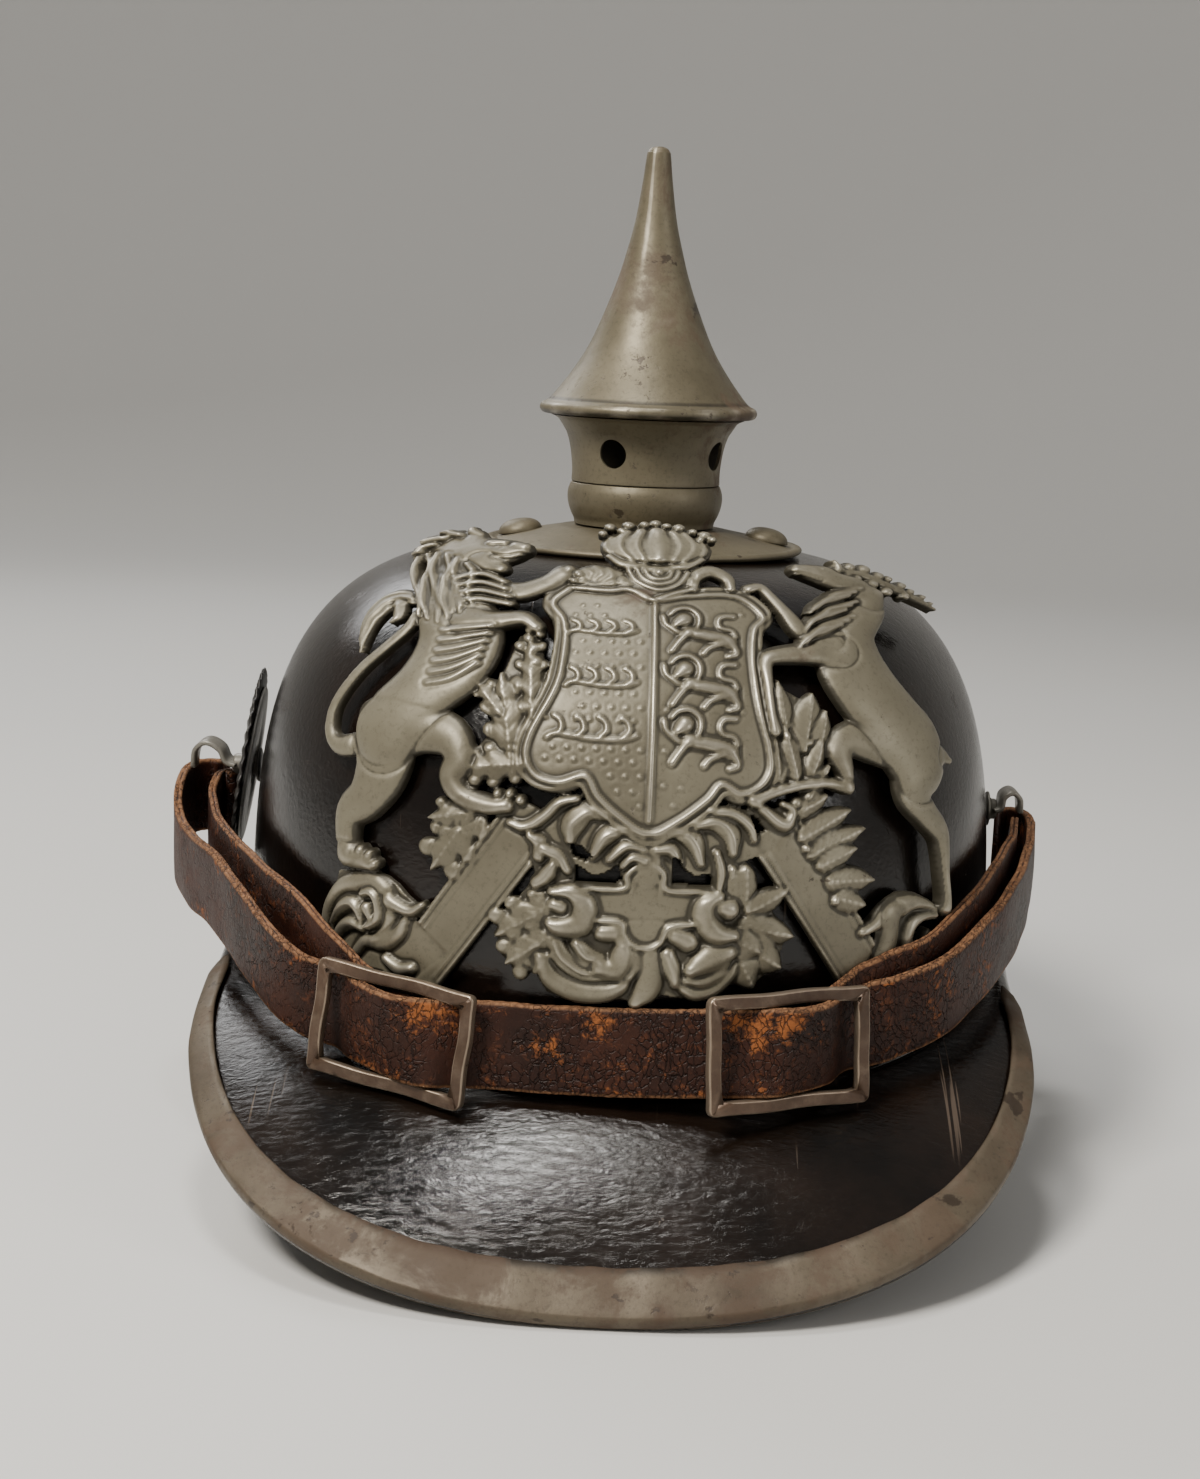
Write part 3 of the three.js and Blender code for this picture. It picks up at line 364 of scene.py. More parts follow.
def visor_frame(visor, fan, depth):
    """Middle of the visor's leather: the point, the way outward along it, its face's normal
    and its depth. fan runs -1 to 1 across, depth 0 at the seam to 1 at the edge."""
    angle = radians(END_ANGLE * fan)
    lap = radians(visor["lap"] * fan)
    round_skull = lap if visor["side"] < 0 else pi - lap
    seat_z = rim_height(round_skull) + VISOR_LAP
    seat = on_dome(round_skull, seat_z, -GAP - VISOR_THICK / 2)
    power = visor["power"]
    k = (abs(sin(angle)) ** power + abs(cos(angle)) ** power) ** (-1 / power)
    edge = Vector((
        visor["x"] + visor["reach_x"] * k * sin(angle),
        visor["y"] + visor["side"] * visor["reach_y"] * k * cos(angle),
        visor["lowest"] + visor["rise"] * (1 - cos(angle)) ** visor["rise_power"],
    ))
    away = (seat - Vector((SKULL_X, SKULL_Y, seat.z))).normalized()
    stub = seat + away * 3
    stub.z = seat_z - 6
    fade = smooth_share(abs(fan) * END_ANGLE, FADE_ANGLE, END_ANGLE)
    edge = edge.lerp(stub, fade)
    out = edge - seat
    out.z = 0
    out.normalize()
    crest = seat.lerp(edge, 0.5) + out * visor["crown"] * 0.7
    crest.z += visor["crown"] * (1 - fade)
    point = seat * (1 - depth) ** 2 + crest * 2 * depth * (1 - depth) + edge * depth ** 2
    along = ((crest - seat) * (1 - depth) + (edge - crest) * depth).normalized()
    run = hypot(along.x, along.y)
    up = Vector((-out.x * along.z, -out.y * along.z, run)).normalized()
    return point, along, up, (edge - seat).length


def ribbon_mesh(profile, stations, place):
    """A closed profile carried along a path; place(a, b, t) gives each of its points."""
    mesh = bmesh.new()
    count = len(profile)
    bmesh.ops.create_grid(mesh, x_segments=stations, y_segments=count, size=1)
    for vert in mesh.verts:
        a, b = profile[round((vert.co.y + 1) / 2 * count) % count]
        vert.co = place(a, b, (vert.co.x + 1) / 2)
    bmesh.ops.remove_doubles(mesh, verts=mesh.verts, dist=1e-4)
    bmesh.ops.holes_fill(mesh, edges=[e for e in mesh.edges if e.is_boundary], sides=0)
    bmesh.ops.recalc_face_normals(mesh, faces=mesh.faces)
    return mesh


def visor_leaf(visor, floor_z):
    """The visor as a closed leaf of leather with eased edges, nowhere below floor_z."""
    half = VISOR_THICK / 2 - 0.1
    face = [(k / 30, half) for k in range(30)]
    face += [(0.985, half), (0.997, half * 0.8), (1.0, half * 0.4)]
    profile = face + [(depth, -b) for depth, b in face[::-1]]

    def place(depth, b, t):
        point, _, up, _ = visor_frame(visor, 2 * t - 1, depth)
        spot = point + up * b
        spot.z = max(spot.z, floor_z)
        return spot

    return ribbon_mesh(profile, 160, place)


visor_leather = lacquered_leather("visor_leather", (0.0025, 0.0018, 0.0014),
                                  (0.013, 0.0072, 0.0044), gloss=0.10, crackle=0.00034)
LEAF_FLOOR = TRIM_METAL + 0.8                 # the folded trim passes under the front edge
finished("front_visor_leather", visor_leaf(FRONT_VISOR, LEAF_FLOOR), visor_leather,
         replaces=["front_visor"])
finished("rear_visor_leather", visor_leaf(REAR_VISOR, 0), visor_leather,
         replaces=["rear_visor"])

# ---- trim of the front visor ---------------------------------------------------------
# A strip of sheet steel folded over the visor's edge and painted field grey; it is
# dented where it has been knocked, and stained brown where the paint has gone.


def field_grey(name, paint, shade, bare, wear, stain, relief=False, rough=0.42):
    """Thin field-grey paint on steel: rubbed to metal on high places, rust-brown stains; with
    relief, painted highlight on ridges and painted shade with grime in hollows.
    """
    mat, shader, place = new_material(name)
    cloud = place.noise(22, 5, 0.6)
    fine = place.noise(210, 6, 0.65)
    colour = cloud.ramp((0.32, shade), (0.66, paint))
    colour = colour.blend(place.noise(900, 3, 0.7).step(0.5, 0.72) * 0.35,
                          tuple(0.55 * c for c in shade))
    blotch = place.scaled(1, 1, 1, (0.03, 0.1, 0.02)).noise(46, 8, 0.7, 0.4)
    brown = blotch.step(0.66 - 0.09 * stain, 0.77 - 0.09 * stain)
    grit = place.noise(520, 5, 0.7).step(0.65 - 0.03 * stain, 0.71 - 0.03 * stain)
    pits = grit * place.noise(33, 3).step(0.45, 0.65)
    spots = place.scaled(1, 1, 1.7, (0.2, 0.05, 0.3)).noise(95, 5, 0.6)
    spots = spots.step(0.715 - 0.04 * stain, 0.745 - 0.04 * stain)
    rubbed = fine * 0.45 + blotch * 0.35 + cloud * 0.2
    rubbed = rubbed.step(0.60 - 0.10 * wear, 0.78 - 0.10 * wear)
    if relief:
        mark = place.painted("ridge")
        hollow = place.painted("hollow")
        # ridges: rubbed to bare metal, and a painted highlight on raised places
        rubs_and_highlight = (mark * 1.15 + fine * 0.9 - 0.5).step(0.2, 1.05)
        # hollows: painted shade, with some grime, darkens the recesses
        shade_and_grime = (hollow * 1.15 + fine * 0.4 - 0.25).step(0.05, 0.85)
        colour = colour.blend(shade_and_grime * 0.86, tuple(0.30 * c for c in shade))
        # from here rubbed also carries the ridges' painted highlight
        rubbed = (rubs_and_highlight * 0.8 + rubbed * 0.25).smaller(1.0)
        brown = (brown * (0.85 + hollow * 0.6)).smaller(1.0)
    colour = colour.blend(brown * 0.7, (0.058, 0.032, 0.016))
    colour = colour.blend(rubbed * 0.7, bare)
    colour = colour.blend((pits * 0.8).larger(spots * 0.75), (0.026, 0.016, 0.01))
    gloss = rough + fine * 0.16 - rubbed * 0.1 + brown * 0.22 + pits * 0.2
    metal = (rubbed * 0.4 + 0.42) - brown * 0.35 - pits * 0.3
    bump = place.noise(90, 3).bumped(0.25, 0.0006)
    bump = (fine - pits * 0.8 - brown * 0.25 - spots * 0.4).bumped(0.34, 0.00024, bump)
    bump = place.noise(1500, 3).bumped(0.15, 0.00005, bump)
    wire(shader, colour=colour, rough=gloss, metal=metal.larger(0), normal=bump)
    return mat


trim_grey = field_grey("trim_grey", (0.130, 0.105, 0.073), (0.050, 0.035, 0.021),
                       (0.38, 0.34, 0.28), wear=0.42, stain=2.2, relief=True)

inside = VISOR_THICK / 2 + 2 * GAP
outside = inside + TRIM_METAL
nose = [(1.5 * (1 - cos(radians(t))), outside * sin(radians(t))) for t in range(90, -91, -15)]
upper = [(TRIM_WIDTH - 0.2, inside + 0.1), (TRIM_WIDTH, inside + 0.3), (TRIM_WIDTH - 0.4, outside),
         (9, outside), (6, outside), (3, outside)]
lower = [(3, -outside), (6, -outside), (9, -outside), (TRIM_WIDTH - 0.3, -outside),
         (TRIM_WIDTH, -inside - 0.3), (TRIM_WIDTH - 0.2, -inside)]
profile = upper + nose + lower + [(TRIM_METAL, -inside), (TRIM_METAL, inside)]
REACH = 26 / 32                               # the share of the visor's fan that is trimmed


def trim_place(a, b, t):
    """The trim's point a in from its edge and b off its middle, t along it, with its dents."""
    fan = -REACH + 2 * REACH * t
    _, _, _, length = visor_frame(FRONT_VISOR, fan, 1)
    point, _, up, _ = visor_frame(FRONT_VISOR, fan, 1 - a / max(length, TRIM_WIDTH * 1.6))
    dent = 0.22 * sin(37 * t + 1) * sin(83 * t) + 0.12 * sin(171 * t + a)
    spot = point + up * (b + dent * (0.4 + a / TRIM_WIDTH))
    lining = abs(b) < inside + 0.01 and a > 0
    spot.z = max(spot.z, TRIM_METAL if lining else 0)
    return spot


mesh = ribbon_mesh(profile, 180, trim_place)
ridge_layer = mesh.verts.layers.float.new("ridge")
hollow_layer = mesh.verts.layers.float.new("hollow")
edge_line = [trim_place(0, 0, k / 90) for k in range(91)]
for vert in mesh.verts:
    inward = min(min((spot - vert.co).length for spot in edge_line) / TRIM_WIDTH, 1)
    crease = 0.5 + 0.5 * sin(vert.co.x * 0.9) * sin(vert.co.x * 0.37 + 2)
    # inner edge and creases near the fold: painted shade with grime
    vert[hollow_layer] = max(0, inward - 0.8) * 4 + 0.35 * crease ** 6 * (inward < 0.5)
    # the folded edge: rubbed bright, with a painted highlight
    vert[ridge_layer] = 0.5 * max(0, 0.25 - inward) * 4 * crease
finished("visor_trim_strip", mesh, trim_grey, replaces=["visor_trim"])

# ---- base disc -----------------------------------------------------------------------
# The spike stands on a round plate of sheet steel, pressed to the dome's curve. Its edge
# is rolled, and it is painted field grey like the fittings that it carries.

low, high = (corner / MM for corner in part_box("base_disc"))
DISC_R = (high.x - low.x) / 2
PAINT, SHADE, BARE = (0.170, 0.147, 0.096), (0.076, 0.063, 0.038), (0.45, 0.41, 0.33)
fitting_grey = field_grey("fitting_grey", PAINT, SHADE, BARE, wear=0.25, stain=1.1)


def eased_rows(rows, cuts=5):
    """The same profile with a smooth curve through its (radius, z) rows."""
    rows = [Vector(row) for row in rows]
    dense = []
    for i in range(len(rows) - 1):
        a, b = rows[max(i - 1, 0)], rows[i]
        c, d = rows[i + 1], rows[min(i + 2, len(rows) - 1)]
        for k in range(cuts):
            t = k / cuts
            dense.append(0.5 * (2 * b + (c - a) * t + (2 * a - 5 * b + 4 * c - d) * t * t
                                + (3 * b - a - 3 * c + d) * t ** 3))
    return dense + [rows[-1]]


def on_axis(mesh, x=None, y=None, z=0.0):
    """Moves a turned piece onto the spike's axis, or to a place of its own."""
    shift = (AXIS_X if x is None else x, AXIS_Y if y is None else y, z)
    bmesh.ops.translate(mesh, vec=shift, verts=mesh.verts)
    return mesh


z = low.z
face = eased_rows([(13.5, z + 5.5), (19.5, z + 5.35), (23, z + 4.75), (29, z + 3.6),
                   (34, z + 2.35), (36.6, z + 1.5)], 4)
roll = [(DISC_R - 1.3 + 1.3 * sin(radians(a)), z + 1.2 + 0.9 * cos(radians(a)))
        for a in range(-50, 181, 23)]
under = [(36.5, z + 0.5), (31, z + 1.5), (21, z + 3.1), (13.5, z + 3.6)]
mesh = turned([tuple(row) for row in face] + roll + under, 120, close=True)
finished("disc_plate", on_axis(mesh), fitting_grey, replaces=["base_disc"])

# ---- studs ---------------------------------------------------------------------------
# Four split pins hold the disc down on the leather; their domed heads show as studs, are
# pressed from steel and are painted with the disc.

for name in ("front", "right", "back", "left"):
    low, high = (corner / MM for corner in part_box(f"stud_{name}"))
    centre = (low + high) / 2
    r = (high.x - low.x) / 2
    rows = [(r * cos(radians(a)) ** 0.85, 3.0 * sin(radians(a))) for a in range(0, 86, 6)]
    mesh = turned([(0, -0.2), (r, -0.2)] + rows + [(0, 3.0)], 40)
    tilt = atan2(1.6, 9.5)                    # the disc's slope under them
    out = Vector((centre.x - AXIS_X, centre.y - AXIS_Y, 0)).normalized()
    turn = Matrix.Rotation(tilt, 3, Vector((-out.y, out.x, 0)))
    bmesh.ops.rotate(mesh, cent=(0, 0, 0), matrix=turn, verts=mesh.verts)
    on_axis(mesh, centre.x, centre.y, low.z + 0.9)
    finished(f"pin_head_{name}", mesh, fitting_grey, replaces=[f"stud_{name}"])

# ---- collar --------------------------------------------------------------------------
# A short turned ring of steel, soldered to the disc round its hole; the spike's bayonet
# fitting turns and locks inside it.

low, high = (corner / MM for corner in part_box("base_collar"))
z = low.z
rows = eased_rows([(17.3, z), (17.5, z + 1.2), (18.2, z + 2.6), (18.9, z + 4.6),
                   (19.2, z + 6.6), (19.05, z + 8.4), (18.45, high.z - 0.15)], 6)
rows = [tuple(row) for row in rows] + [(18.3, high.z), (14, high.z), (14, z)]
finished("collar_ring", on_axis(turned(rows, 120, close=True)), fitting_grey,
         replaces=["base_collar"])

# ---- vented neck ---------------------------------------------------------------------
# A drawn steel sleeve with four round air vents drilled through it. It is soldered under
# the spike, so the two turn together on the collar and lift off for the field.

low, high = (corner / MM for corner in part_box("spike_neck"))
z = low.z
rows = eased_rows([(18.25, z), (18.35, z + 0.2), (18.3, z + 2), (18.4, z + 4.2), (18.9, z + 8),
                   (19.7, z + 11), (20.9, z + 13.6), (22.3, z + 15.2), (23.8, high.z)], 6)
rows = [tuple(row) for row in rows] + [(22.6, high.z), (18.4, z + 9.4), (17.2, z + 3), (16.4, z)]
neck = finished("neck_sleeve", on_axis(turned(rows, 120, close=True)), fitting_grey,
                body="spike_unit", replaces=["spike_neck"])
VENT_TURN, VENT_R, VENT_Z, NECK_R = -26, 3.5, 163.6, 19
drill_mesh = bmesh.new()
for quarter in range(4):
    angle = radians(VENT_TURN + 90 * quarter)
    drill = bmesh.ops.create_cone(drill_mesh, cap_ends=True, segments=32, radius1=VENT_R,
                                  radius2=VENT_R, depth=12)
    turn = Matrix.Rotation(angle, 3, "Z") @ Matrix.Rotation(pi / 2, 3, "X")
    bmesh.ops.rotate(drill_mesh, cent=(0, 0, 0), matrix=turn, verts=drill["verts"])
    middle = (AXIS_X + NECK_R * sin(angle), AXIS_Y - NECK_R * cos(angle), VENT_Z)
    bmesh.ops.translate(drill_mesh, vec=middle, verts=drill["verts"])
bmesh.ops.scale(drill_mesh, vec=(MM, MM, MM), verts=drill_mesh.verts)
drills = bpy.data.objects.new("vent_drills", bpy.data.meshes.new("vent_drills"))
drill_mesh.to_mesh(drills.data)
scene.collection.objects.link(drills)
vents = neck.modifiers.new("vents", "BOOLEAN")
vents.operation = "DIFFERENCE"
vents.object = drills
bpy.context.view_layer.objects.active = neck
bpy.context.view_layer.update()
cut = bpy.data.meshes.new_from_object(neck.evaluated_get(bpy.context.evaluated_depsgraph_get()))
neck.modifiers.clear()
neck.data = cut
bpy.data.objects.remove(drills)
neck.data.set_sharp_from_angle(angle=radians(40))

# ---- spike ---------------------------------------------------------------------------
# Sheet steel spun to a hollow, flared point, with a lip rolled round its foot and a small
# blunt tip; handling has rubbed the paint off the lip, and a streak down one side is rubbed
# metal with a painted highlight.

low, high = (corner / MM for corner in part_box("spike"))
z = low.z
RIM_R, ROLL = 26.8, 1.45                      # the lip rolled round the spike's foot
rim = [(RIM_R - ROLL + ROLL * cos(radians(a)), z + 1.5 + ROLL * sin(radians(a)))
       for a in range(-90, 80, 20)]
flare = eased_rows([(25.2, z + 3.15), (23.6, z + 4.6), (19.2, z + 10.4), (15.3, z + 16.8),
                    (11.8, z + 24.8), (8.7, z + 33.2), (6.6, z + 40.6), (5, z + 47.4),
                    (3.75, z + 55.6), (2.95, z + 62.4), (2.7, z + 63.4), (2.1, z + 64.2),
                    (1.1, z + 64.62), (0, high.z)], 5)
mesh = turned([(0, z + 2), (23, z + 1.2), (24, z + 0.02)] + rim
              + [tuple(row) for row in flare], 160)
ridge_layer = mesh.verts.layers.float.new("ridge")
hollow_layer = mesh.verts.layers.float.new("hollow")
for vert in mesh.verts:
    rise, r = vert.co.z - z, hypot(vert.co.x, vert.co.y)
    bearing = degrees(atan2(vert.co.x, -vert.co.y))
    # a streak down the left front is rubbed metal and a painted highlight; the lip and tip are
    # rubbed
    rub_and_highlight_streak = exp(-((bearing + 22) / 7) ** 2) * min(max((rise - 28) / 20, 0), 1)
    lip = exp(-((r - 26.4) / 0.7) ** 2)
    patchy = 0.5 + 0.5 * sin(bearing * 0.21 + 1) * sin(bearing * 0.07)
    vert[ridge_layer] = 1.1 * rub_and_highlight_streak + 0.85 * lip * patchy + 0.5 * max(0, (rise - 62) / 3)
    # painted shade with grime in the crease inside the lip and round the spike's foot
    vert[hollow_layer] = 0.75 * (exp(-((r - 24.4) / 0.5) ** 2)
                                 + exp(-((rise - 0.5) / 0.9) ** 2)) * (r > 8)
spike_grey = field_grey("spike_grey", PAINT, SHADE, BARE, wear=0.6, stain=1.6,
                        relief=True, rough=0.38)
finished("spun_spike", on_axis(mesh), spike_grey, body="spike_unit", replaces=["spike"])

# ---- rear spine ----------------------------------------------------------------------
# A plain strip of painted steel runs down the back of the dome from the disc to the rear
# visor and holds its seam; it is slightly crowned.

low, high = (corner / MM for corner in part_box("rear_spine"))
half = (high.x - low.x) / 2
SPINE_FOOT, SPINE_TOP = 3.6, 81.2              # degrees up the dome's curve, to the disc's edge
crown = [(-half, 0), (-half, 0.5), (-half * 0.85, 0.75), (-half * 0.4, 0.87), (0, 0.9),
         (half * 0.4, 0.87), (half * 0.85, 0.75), (half, 0.5), (half, 0)]


def spine_place(a, b, t):
    """The spine's point a to the side and b off the dome, t of its way up."""
    share = sin(radians(SPINE_FOOT + (SPINE_TOP - SPINE_FOOT) * t)) ** (2 / DOME_POWER)
    z = BASE_Z + (CROWN_Z - BASE_Z + GAP + b) * share
    return on_dome(pi, z, -GAP - b) + Vector((a, 0, 0))


finished("spine_strip", ribbon_mesh(crown, 80, spine_place), fitting_grey, replaces=["rear_spine"])

# ---- front plate ---------------------------------------------------------------------
# One sheet of steel stamped in relief with royal arms: a crowned shield held by a lion and a
# stag over two bare ribbons, pierced between its figures, bent to the dome and painted.

CELL = 0.37                                   # mm between points of the sheet
across = np.arange(-80, 80.01, CELL)
aloft_rows = np.arange(-2, 121.01, CELL)
U, V = np.meshgrid(across, aloft_rows)
relief = np.zeros(U.shape)                    # height of the stamped face off the sheet's back
reach_in = np.full(U.shape, -9.0)             # mm inside the sheet's outline, below 0 outside
SHEET = 0.9


def curved(rows, cuts=5):
    """A smooth run through rows of (u, v, half width, ...)."""
    rows = np.array(rows, float)
    if len(rows) == 1:
        return rows
    ends = np.vstack([2 * rows[0] - rows[1], rows, 2 * rows[-1] - rows[-2]])
    ends[[0, -1], 2] = rows[[0, -1], 2]
    run = []
    for a, b, c, d in zip(ends, ends[1:], ends[2:], ends[3:]):
        for t in np.arange(cuts) / cuts:
            run.append(0.5 * (2 * b + (c - a) * t + (2 * a - 5 * b + 4 * c - d) * t * t
                              + (3 * b - a - 3 * c + d) * t ** 3))
    return np.vstack([run, rows[-1]])


def nearest(run, margin):
    """For the sheet near a run of rounds: its window, how far out each point is as a share of
    the half width, the length run so far, the side (-1 to 1) and the half width."""
    lo_u, hi_u = run[:, 0].min() - margin, run[:, 0].max() + margin
    lo_v, hi_v = run[:, 1].min() - margin, run[:, 1].max() + margin
    cols = slice(*np.searchsorted(across, (lo_u, hi_u)))
    lines = slice(*np.searchsorted(aloft_rows, (lo_v, hi_v)))
    u, v = U[lines, cols], V[lines, cols]
    best = np.full(u.shape, 99.0)
    share, sides, half = np.zeros(u.shape), np.zeros(u.shape), np.ones(u.shape)
    done = 0.0
    pairs = zip(run, run[1:]) if len(run) > 1 else [(run[0], run[0] + (1e-3, 0, 0))]
    for a, b in pairs:
        du, dv = b[0] - a[0], b[1] - a[1]
        size = hypot(du, dv) + 1e-9
        t = np.clip(((u - a[0]) * du + (v - a[1]) * dv) / size ** 2, 0, 1)
        r = np.maximum(a[2] + (b[2] - a[2]) * t, 0.15)
        off = np.hypot(u - a[0] - du * t, v - a[1] - dv * t)
        q = off / r
        nearer = q < best
        best = np.where(nearer, q, best)
        share = np.where(nearer, done + t * size, share)
        turn = np.sign(du * (v - a[1]) - dv * (u - a[0]))
        sides = np.where(nearer, turn * q, sides)
        half = np.where(nearer, r, half)
        done += size
    return (lines, cols), best, share, sides, half


def stamp(rows, height, groove=0.0, pattern=None, round_power=2.0, pierce=True, soft=0.5):
    """Raises one rounded limb, leaf or bead. A groove sets it off from what lies under it."""
    run = curved(rows)
    margin = run[:, 2].max() * 1.5 + 1
    spot, q, along, sides, half = nearest(run, margin)
    form = np.clip(1 - np.clip(q, 0, 1) ** round_power, 0, 1) ** (1 / round_power)
    raised = SHEET + (height - SHEET) * form
    if pattern is not None:
        raised = raised + pattern(along, sides, half) * np.clip(form * 1.6, 0, 1)
    under = relief[spot]
    if groove:
        gap = (q - 1) * half
        under = under - groove * np.exp(-(gap / 0.45) ** 2) * (under > 0) * (q > 1)
        under = np.where(q < 1, under - groove * 0.6 * (1 - form), under)
    both = 0.5 * (raised + under + np.sqrt((raised - under) ** 2 + soft ** 2)) - soft * 0.25
    on_sheet = reach_in[spot] > 0
    fresh = np.where(on_sheet, np.maximum(both, np.minimum(raised, under)), raised)
    relief[spot] = np.where(q < 1, np.where(on_sheet, fresh, raised), under)
    if pierce:
        reach_in[spot] = np.maximum(reach_in[spot], (1 - q) * half)


def stripes(pitch, depth, slant=0.0):
    """Ripples across a limb."""
    def pattern(along, sides, half):
        return depth * np.cos(2 * pi * (along + slant * np.abs(sides) * half) / pitch)
    return pattern


def locks(count, depth):
    """Strands that run along a limb."""
    def pattern(along, sides, half):
        return depth * np.cos(pi * count * sides + 0.5 * np.sin(along * 0.9))
    return pattern


def leaf(foot, tip, width, height=2.7, lobes=0, bow=0.0):
    """A leaf from its foot to its tip, with a midrib, slanting veins and, on oak, round lobes."""
    foot, tip = Vector(foot), Vector(tip)
    line = tip - foot
    normal = Vector((-line.y, line.x)).normalized()

    def veins(along, sides, half):
        rib = 0.42 * np.exp(-(sides * half / 0.34) ** 2)
        return rib + 0.16 * np.cos(2 * pi * (along - 1.1 * np.abs(sides) * half) / 1.6) - 0.1

    for k in range(lobes):
        t = (k + 0.25) / (lobes + 0.2)
        root = foot + line * t
        reach = width * (1.0 - 0.62 * abs(t - 0.45) ** 1.2)
        for hand in (-1, 1):
            end = root + line.normalized() * reach * 0.5 + normal * hand * reach * 0.78
            stamp([(*root, width * 0.36), (*((root + end) / 2), width * 0.42),
                   (*end, width * 0.36)], height - 0.1, 0.3, round_power=2.6)
    rows = []
    for k in range(9):
        t = k / 8
        at = foot + line * t + normal * bow * sin(pi * t)
        spread = width * (0.66 if lobes else 1.12) * (sin(pi * t ** 0.8) ** 0.8 * 0.95 + 0.06)
        rows.append((at.x, at.y, max(spread, 0.35)))
    stamp(rows, height, 0.55, veins, 2.2)


def bead(u, v, r, height, pierce=True):
    """One round boss."""
    stamp([(u, v, r)], height, 0.2, pierce=pierce)


def panel(corners, height, pierce=True):
    """A flat field inside a closed outline."""
    corners = np.array(corners)
    inside_it = np.zeros(U.shape, bool)
    edge = np.full(U.shape, 99.0)
    for (ua, va), (ub, vb) in zip(corners, np.roll(corners, -1, 0)):
        crosses = ((va > V) != (vb > V)) & (U < (ub - ua) * (V - va) / (vb - va + 1e-9) + ua)
        inside_it ^= crosses
        t = np.clip(((U - ua) * (ub - ua) + (V - va) * (vb - va))
                    / ((ub - ua) ** 2 + (vb - va) ** 2), 0, 1)
        edge = np.minimum(edge, np.hypot(U - ua - (ub - ua) * t, V - va - (vb - va) * t))
    relief[inside_it] = height
    if pierce:
        reach_in[:] = np.maximum(reach_in, np.where(inside_it, edge, -edge))


def pierced(corners):
    """Cuts a hole through the sheet inside a closed outline."""
    corners = np.array(corners)
    open_part = np.zeros(U.shape, bool)
    for (ua, va), (ub, vb) in zip(corners, np.roll(corners, -1, 0)):
        open_part ^= ((va > V) != (vb > V)) & (U < (ub - ua) * (V - va) / (vb - va + 1e-9) + ua)
    reach_in[:] = np.where(open_part, np.minimum(reach_in, -0.2), reach_in)


def ridge(rows, r, height, groove=0.3):
    """A thin raised line."""
    stamp([(u, v, r) for u, v in rows], height, groove, soft=0.25)


# the ribbons and their flat, bare fields
for head, foot in (((-26.4, 35.6), (-48.4, 4.4)), ((27.4, 36), (48.8, 6.2))):
    stamp([(*head, 6.1), (*foot, 6.1)], 1.75, round_power=8)
    line = Vector(foot) - Vector(head)
    normal = Vector((-line.y, line.x)).normalized()
    for off, height in ((5.5, 2.5), (4.1, 2.15), (-4.1, 2.15), (-5.5, 2.5)):
        ends = [Vector(head) + normal * off, Vector(foot) + normal * off]
        ridge([tuple(end) for end in ends], 0.55, height, 0.15)

# lower garland: scroll feet, leaves, the bare cartouche between two volutes, and fruit
panel([(-72, 21), (-75, 15.5), (-76.2, 10), (-78, 8), (-78, 5.5), (-64, 1.2), (-50, 0.6),
       (-42, 8), (-50, 14), (-48, 15.7), (-46.9, 17.4), (-47.8, 18.2), (-50.3, 17.4),
       (-52.4, 18.6), (-55, 20.6), (-58, 22), (-62, 22.4)], 1.5)
panel([(47.6, 15), (50, 16), (53, 18.8), (56, 20.6), (59, 21.6), (62, 21.4), (65, 20.7),
       (68, 19.2), (71, 17), (75, 13.4), (70, 14), (67.6, 14), (66, 13), (64.8, 10), (70, 8.6),
       (66, 4.6), (54, 2), (50, 5), (52.4, 10.6), (53.4, 14)], 1.4)
for rows, height, pattern in (
    ([(-76.4, 6.4, 1.2), (-75, 12.4, 1.6), (-71, 17.4, 2.0), (-66, 19.4, 2.2),
      (-61, 20.2, 2.4), (-57.4, 17.8, 2.4), (-56.4, 14, 2.0), (-57.6, 10, 1.8),
      (-61, 7.6, 1.2)], 3.0, None),
    ([(-73.4, 9, 0.8), (-71, 12.8, 1.5), (-67.6, 14.8, 1.7), (-65, 13.2, 1.5),
      (-64.2, 10.6, 0.7)], 3.3, locks(2, 0.16)),
    ([(-63.8, 17.4, 1.0), (-61.2, 18.2, 1.2), (-59.2, 16, 1.4), (-59.4, 12.6, 1.4),
      (-62.4, 10.4, 1.0)], 3.8, None),
    ([(-63, 14.4, 1.6), (-61.6, 12.6, 1.2)], 3.2, None),
    ([(-72.6, 4.4, 1.0), (-71, 8, 1.6), (-67.6, 10.2, 1.6), (-64, 9.6, 1.0)], 3.1, locks(2, 0.16)),
    ([(-66, 4, 1.4), (-63, 7, 1.6), (-58, 7.4, 1.9), (-54, 10.4, 1.8), (-52.4, 13.6, 1.2)],
     2.7, None),
    ([(-57.4, 4.2, 1.3), (-54, 2.6, 1.7), (-50.6, 3.2, 1.4)], 2.9, None),
    ([(-56.6, 17, 1.8), (-53, 15.9, 1.6), (-50.4, 15.9, 1.3), (-48, 17.6, 0.8)], 3.2, None),
    ([(48.6, 14.2, 1.1), (52, 15.6, 1.8), (55.6, 17, 3.0), (59.4, 18.4, 2.8), (64, 18.8, 1.9),
      (68.4, 17.4, 1.5), (71.4, 15.8, 1.0)], 3.1, None),
    ([(56.6, 17, 3.0), (56.6, 12.4, 3.0), (55.4, 8, 3.2), (54, 3, 3.4)], 2.9, None),
    ([(71.4, 14.8, 0.8), (67, 15.4, 1.4), (63.6, 14.4, 1.8), (62, 11.8, 1.8), (62.2, 8, 1.6)],
     3.3, None),
    ([(69, 11, 1.4), (67.4, 7.8, 1.5)], 2.8, None),
):
    stamp(rows, height, 0.6, pattern)
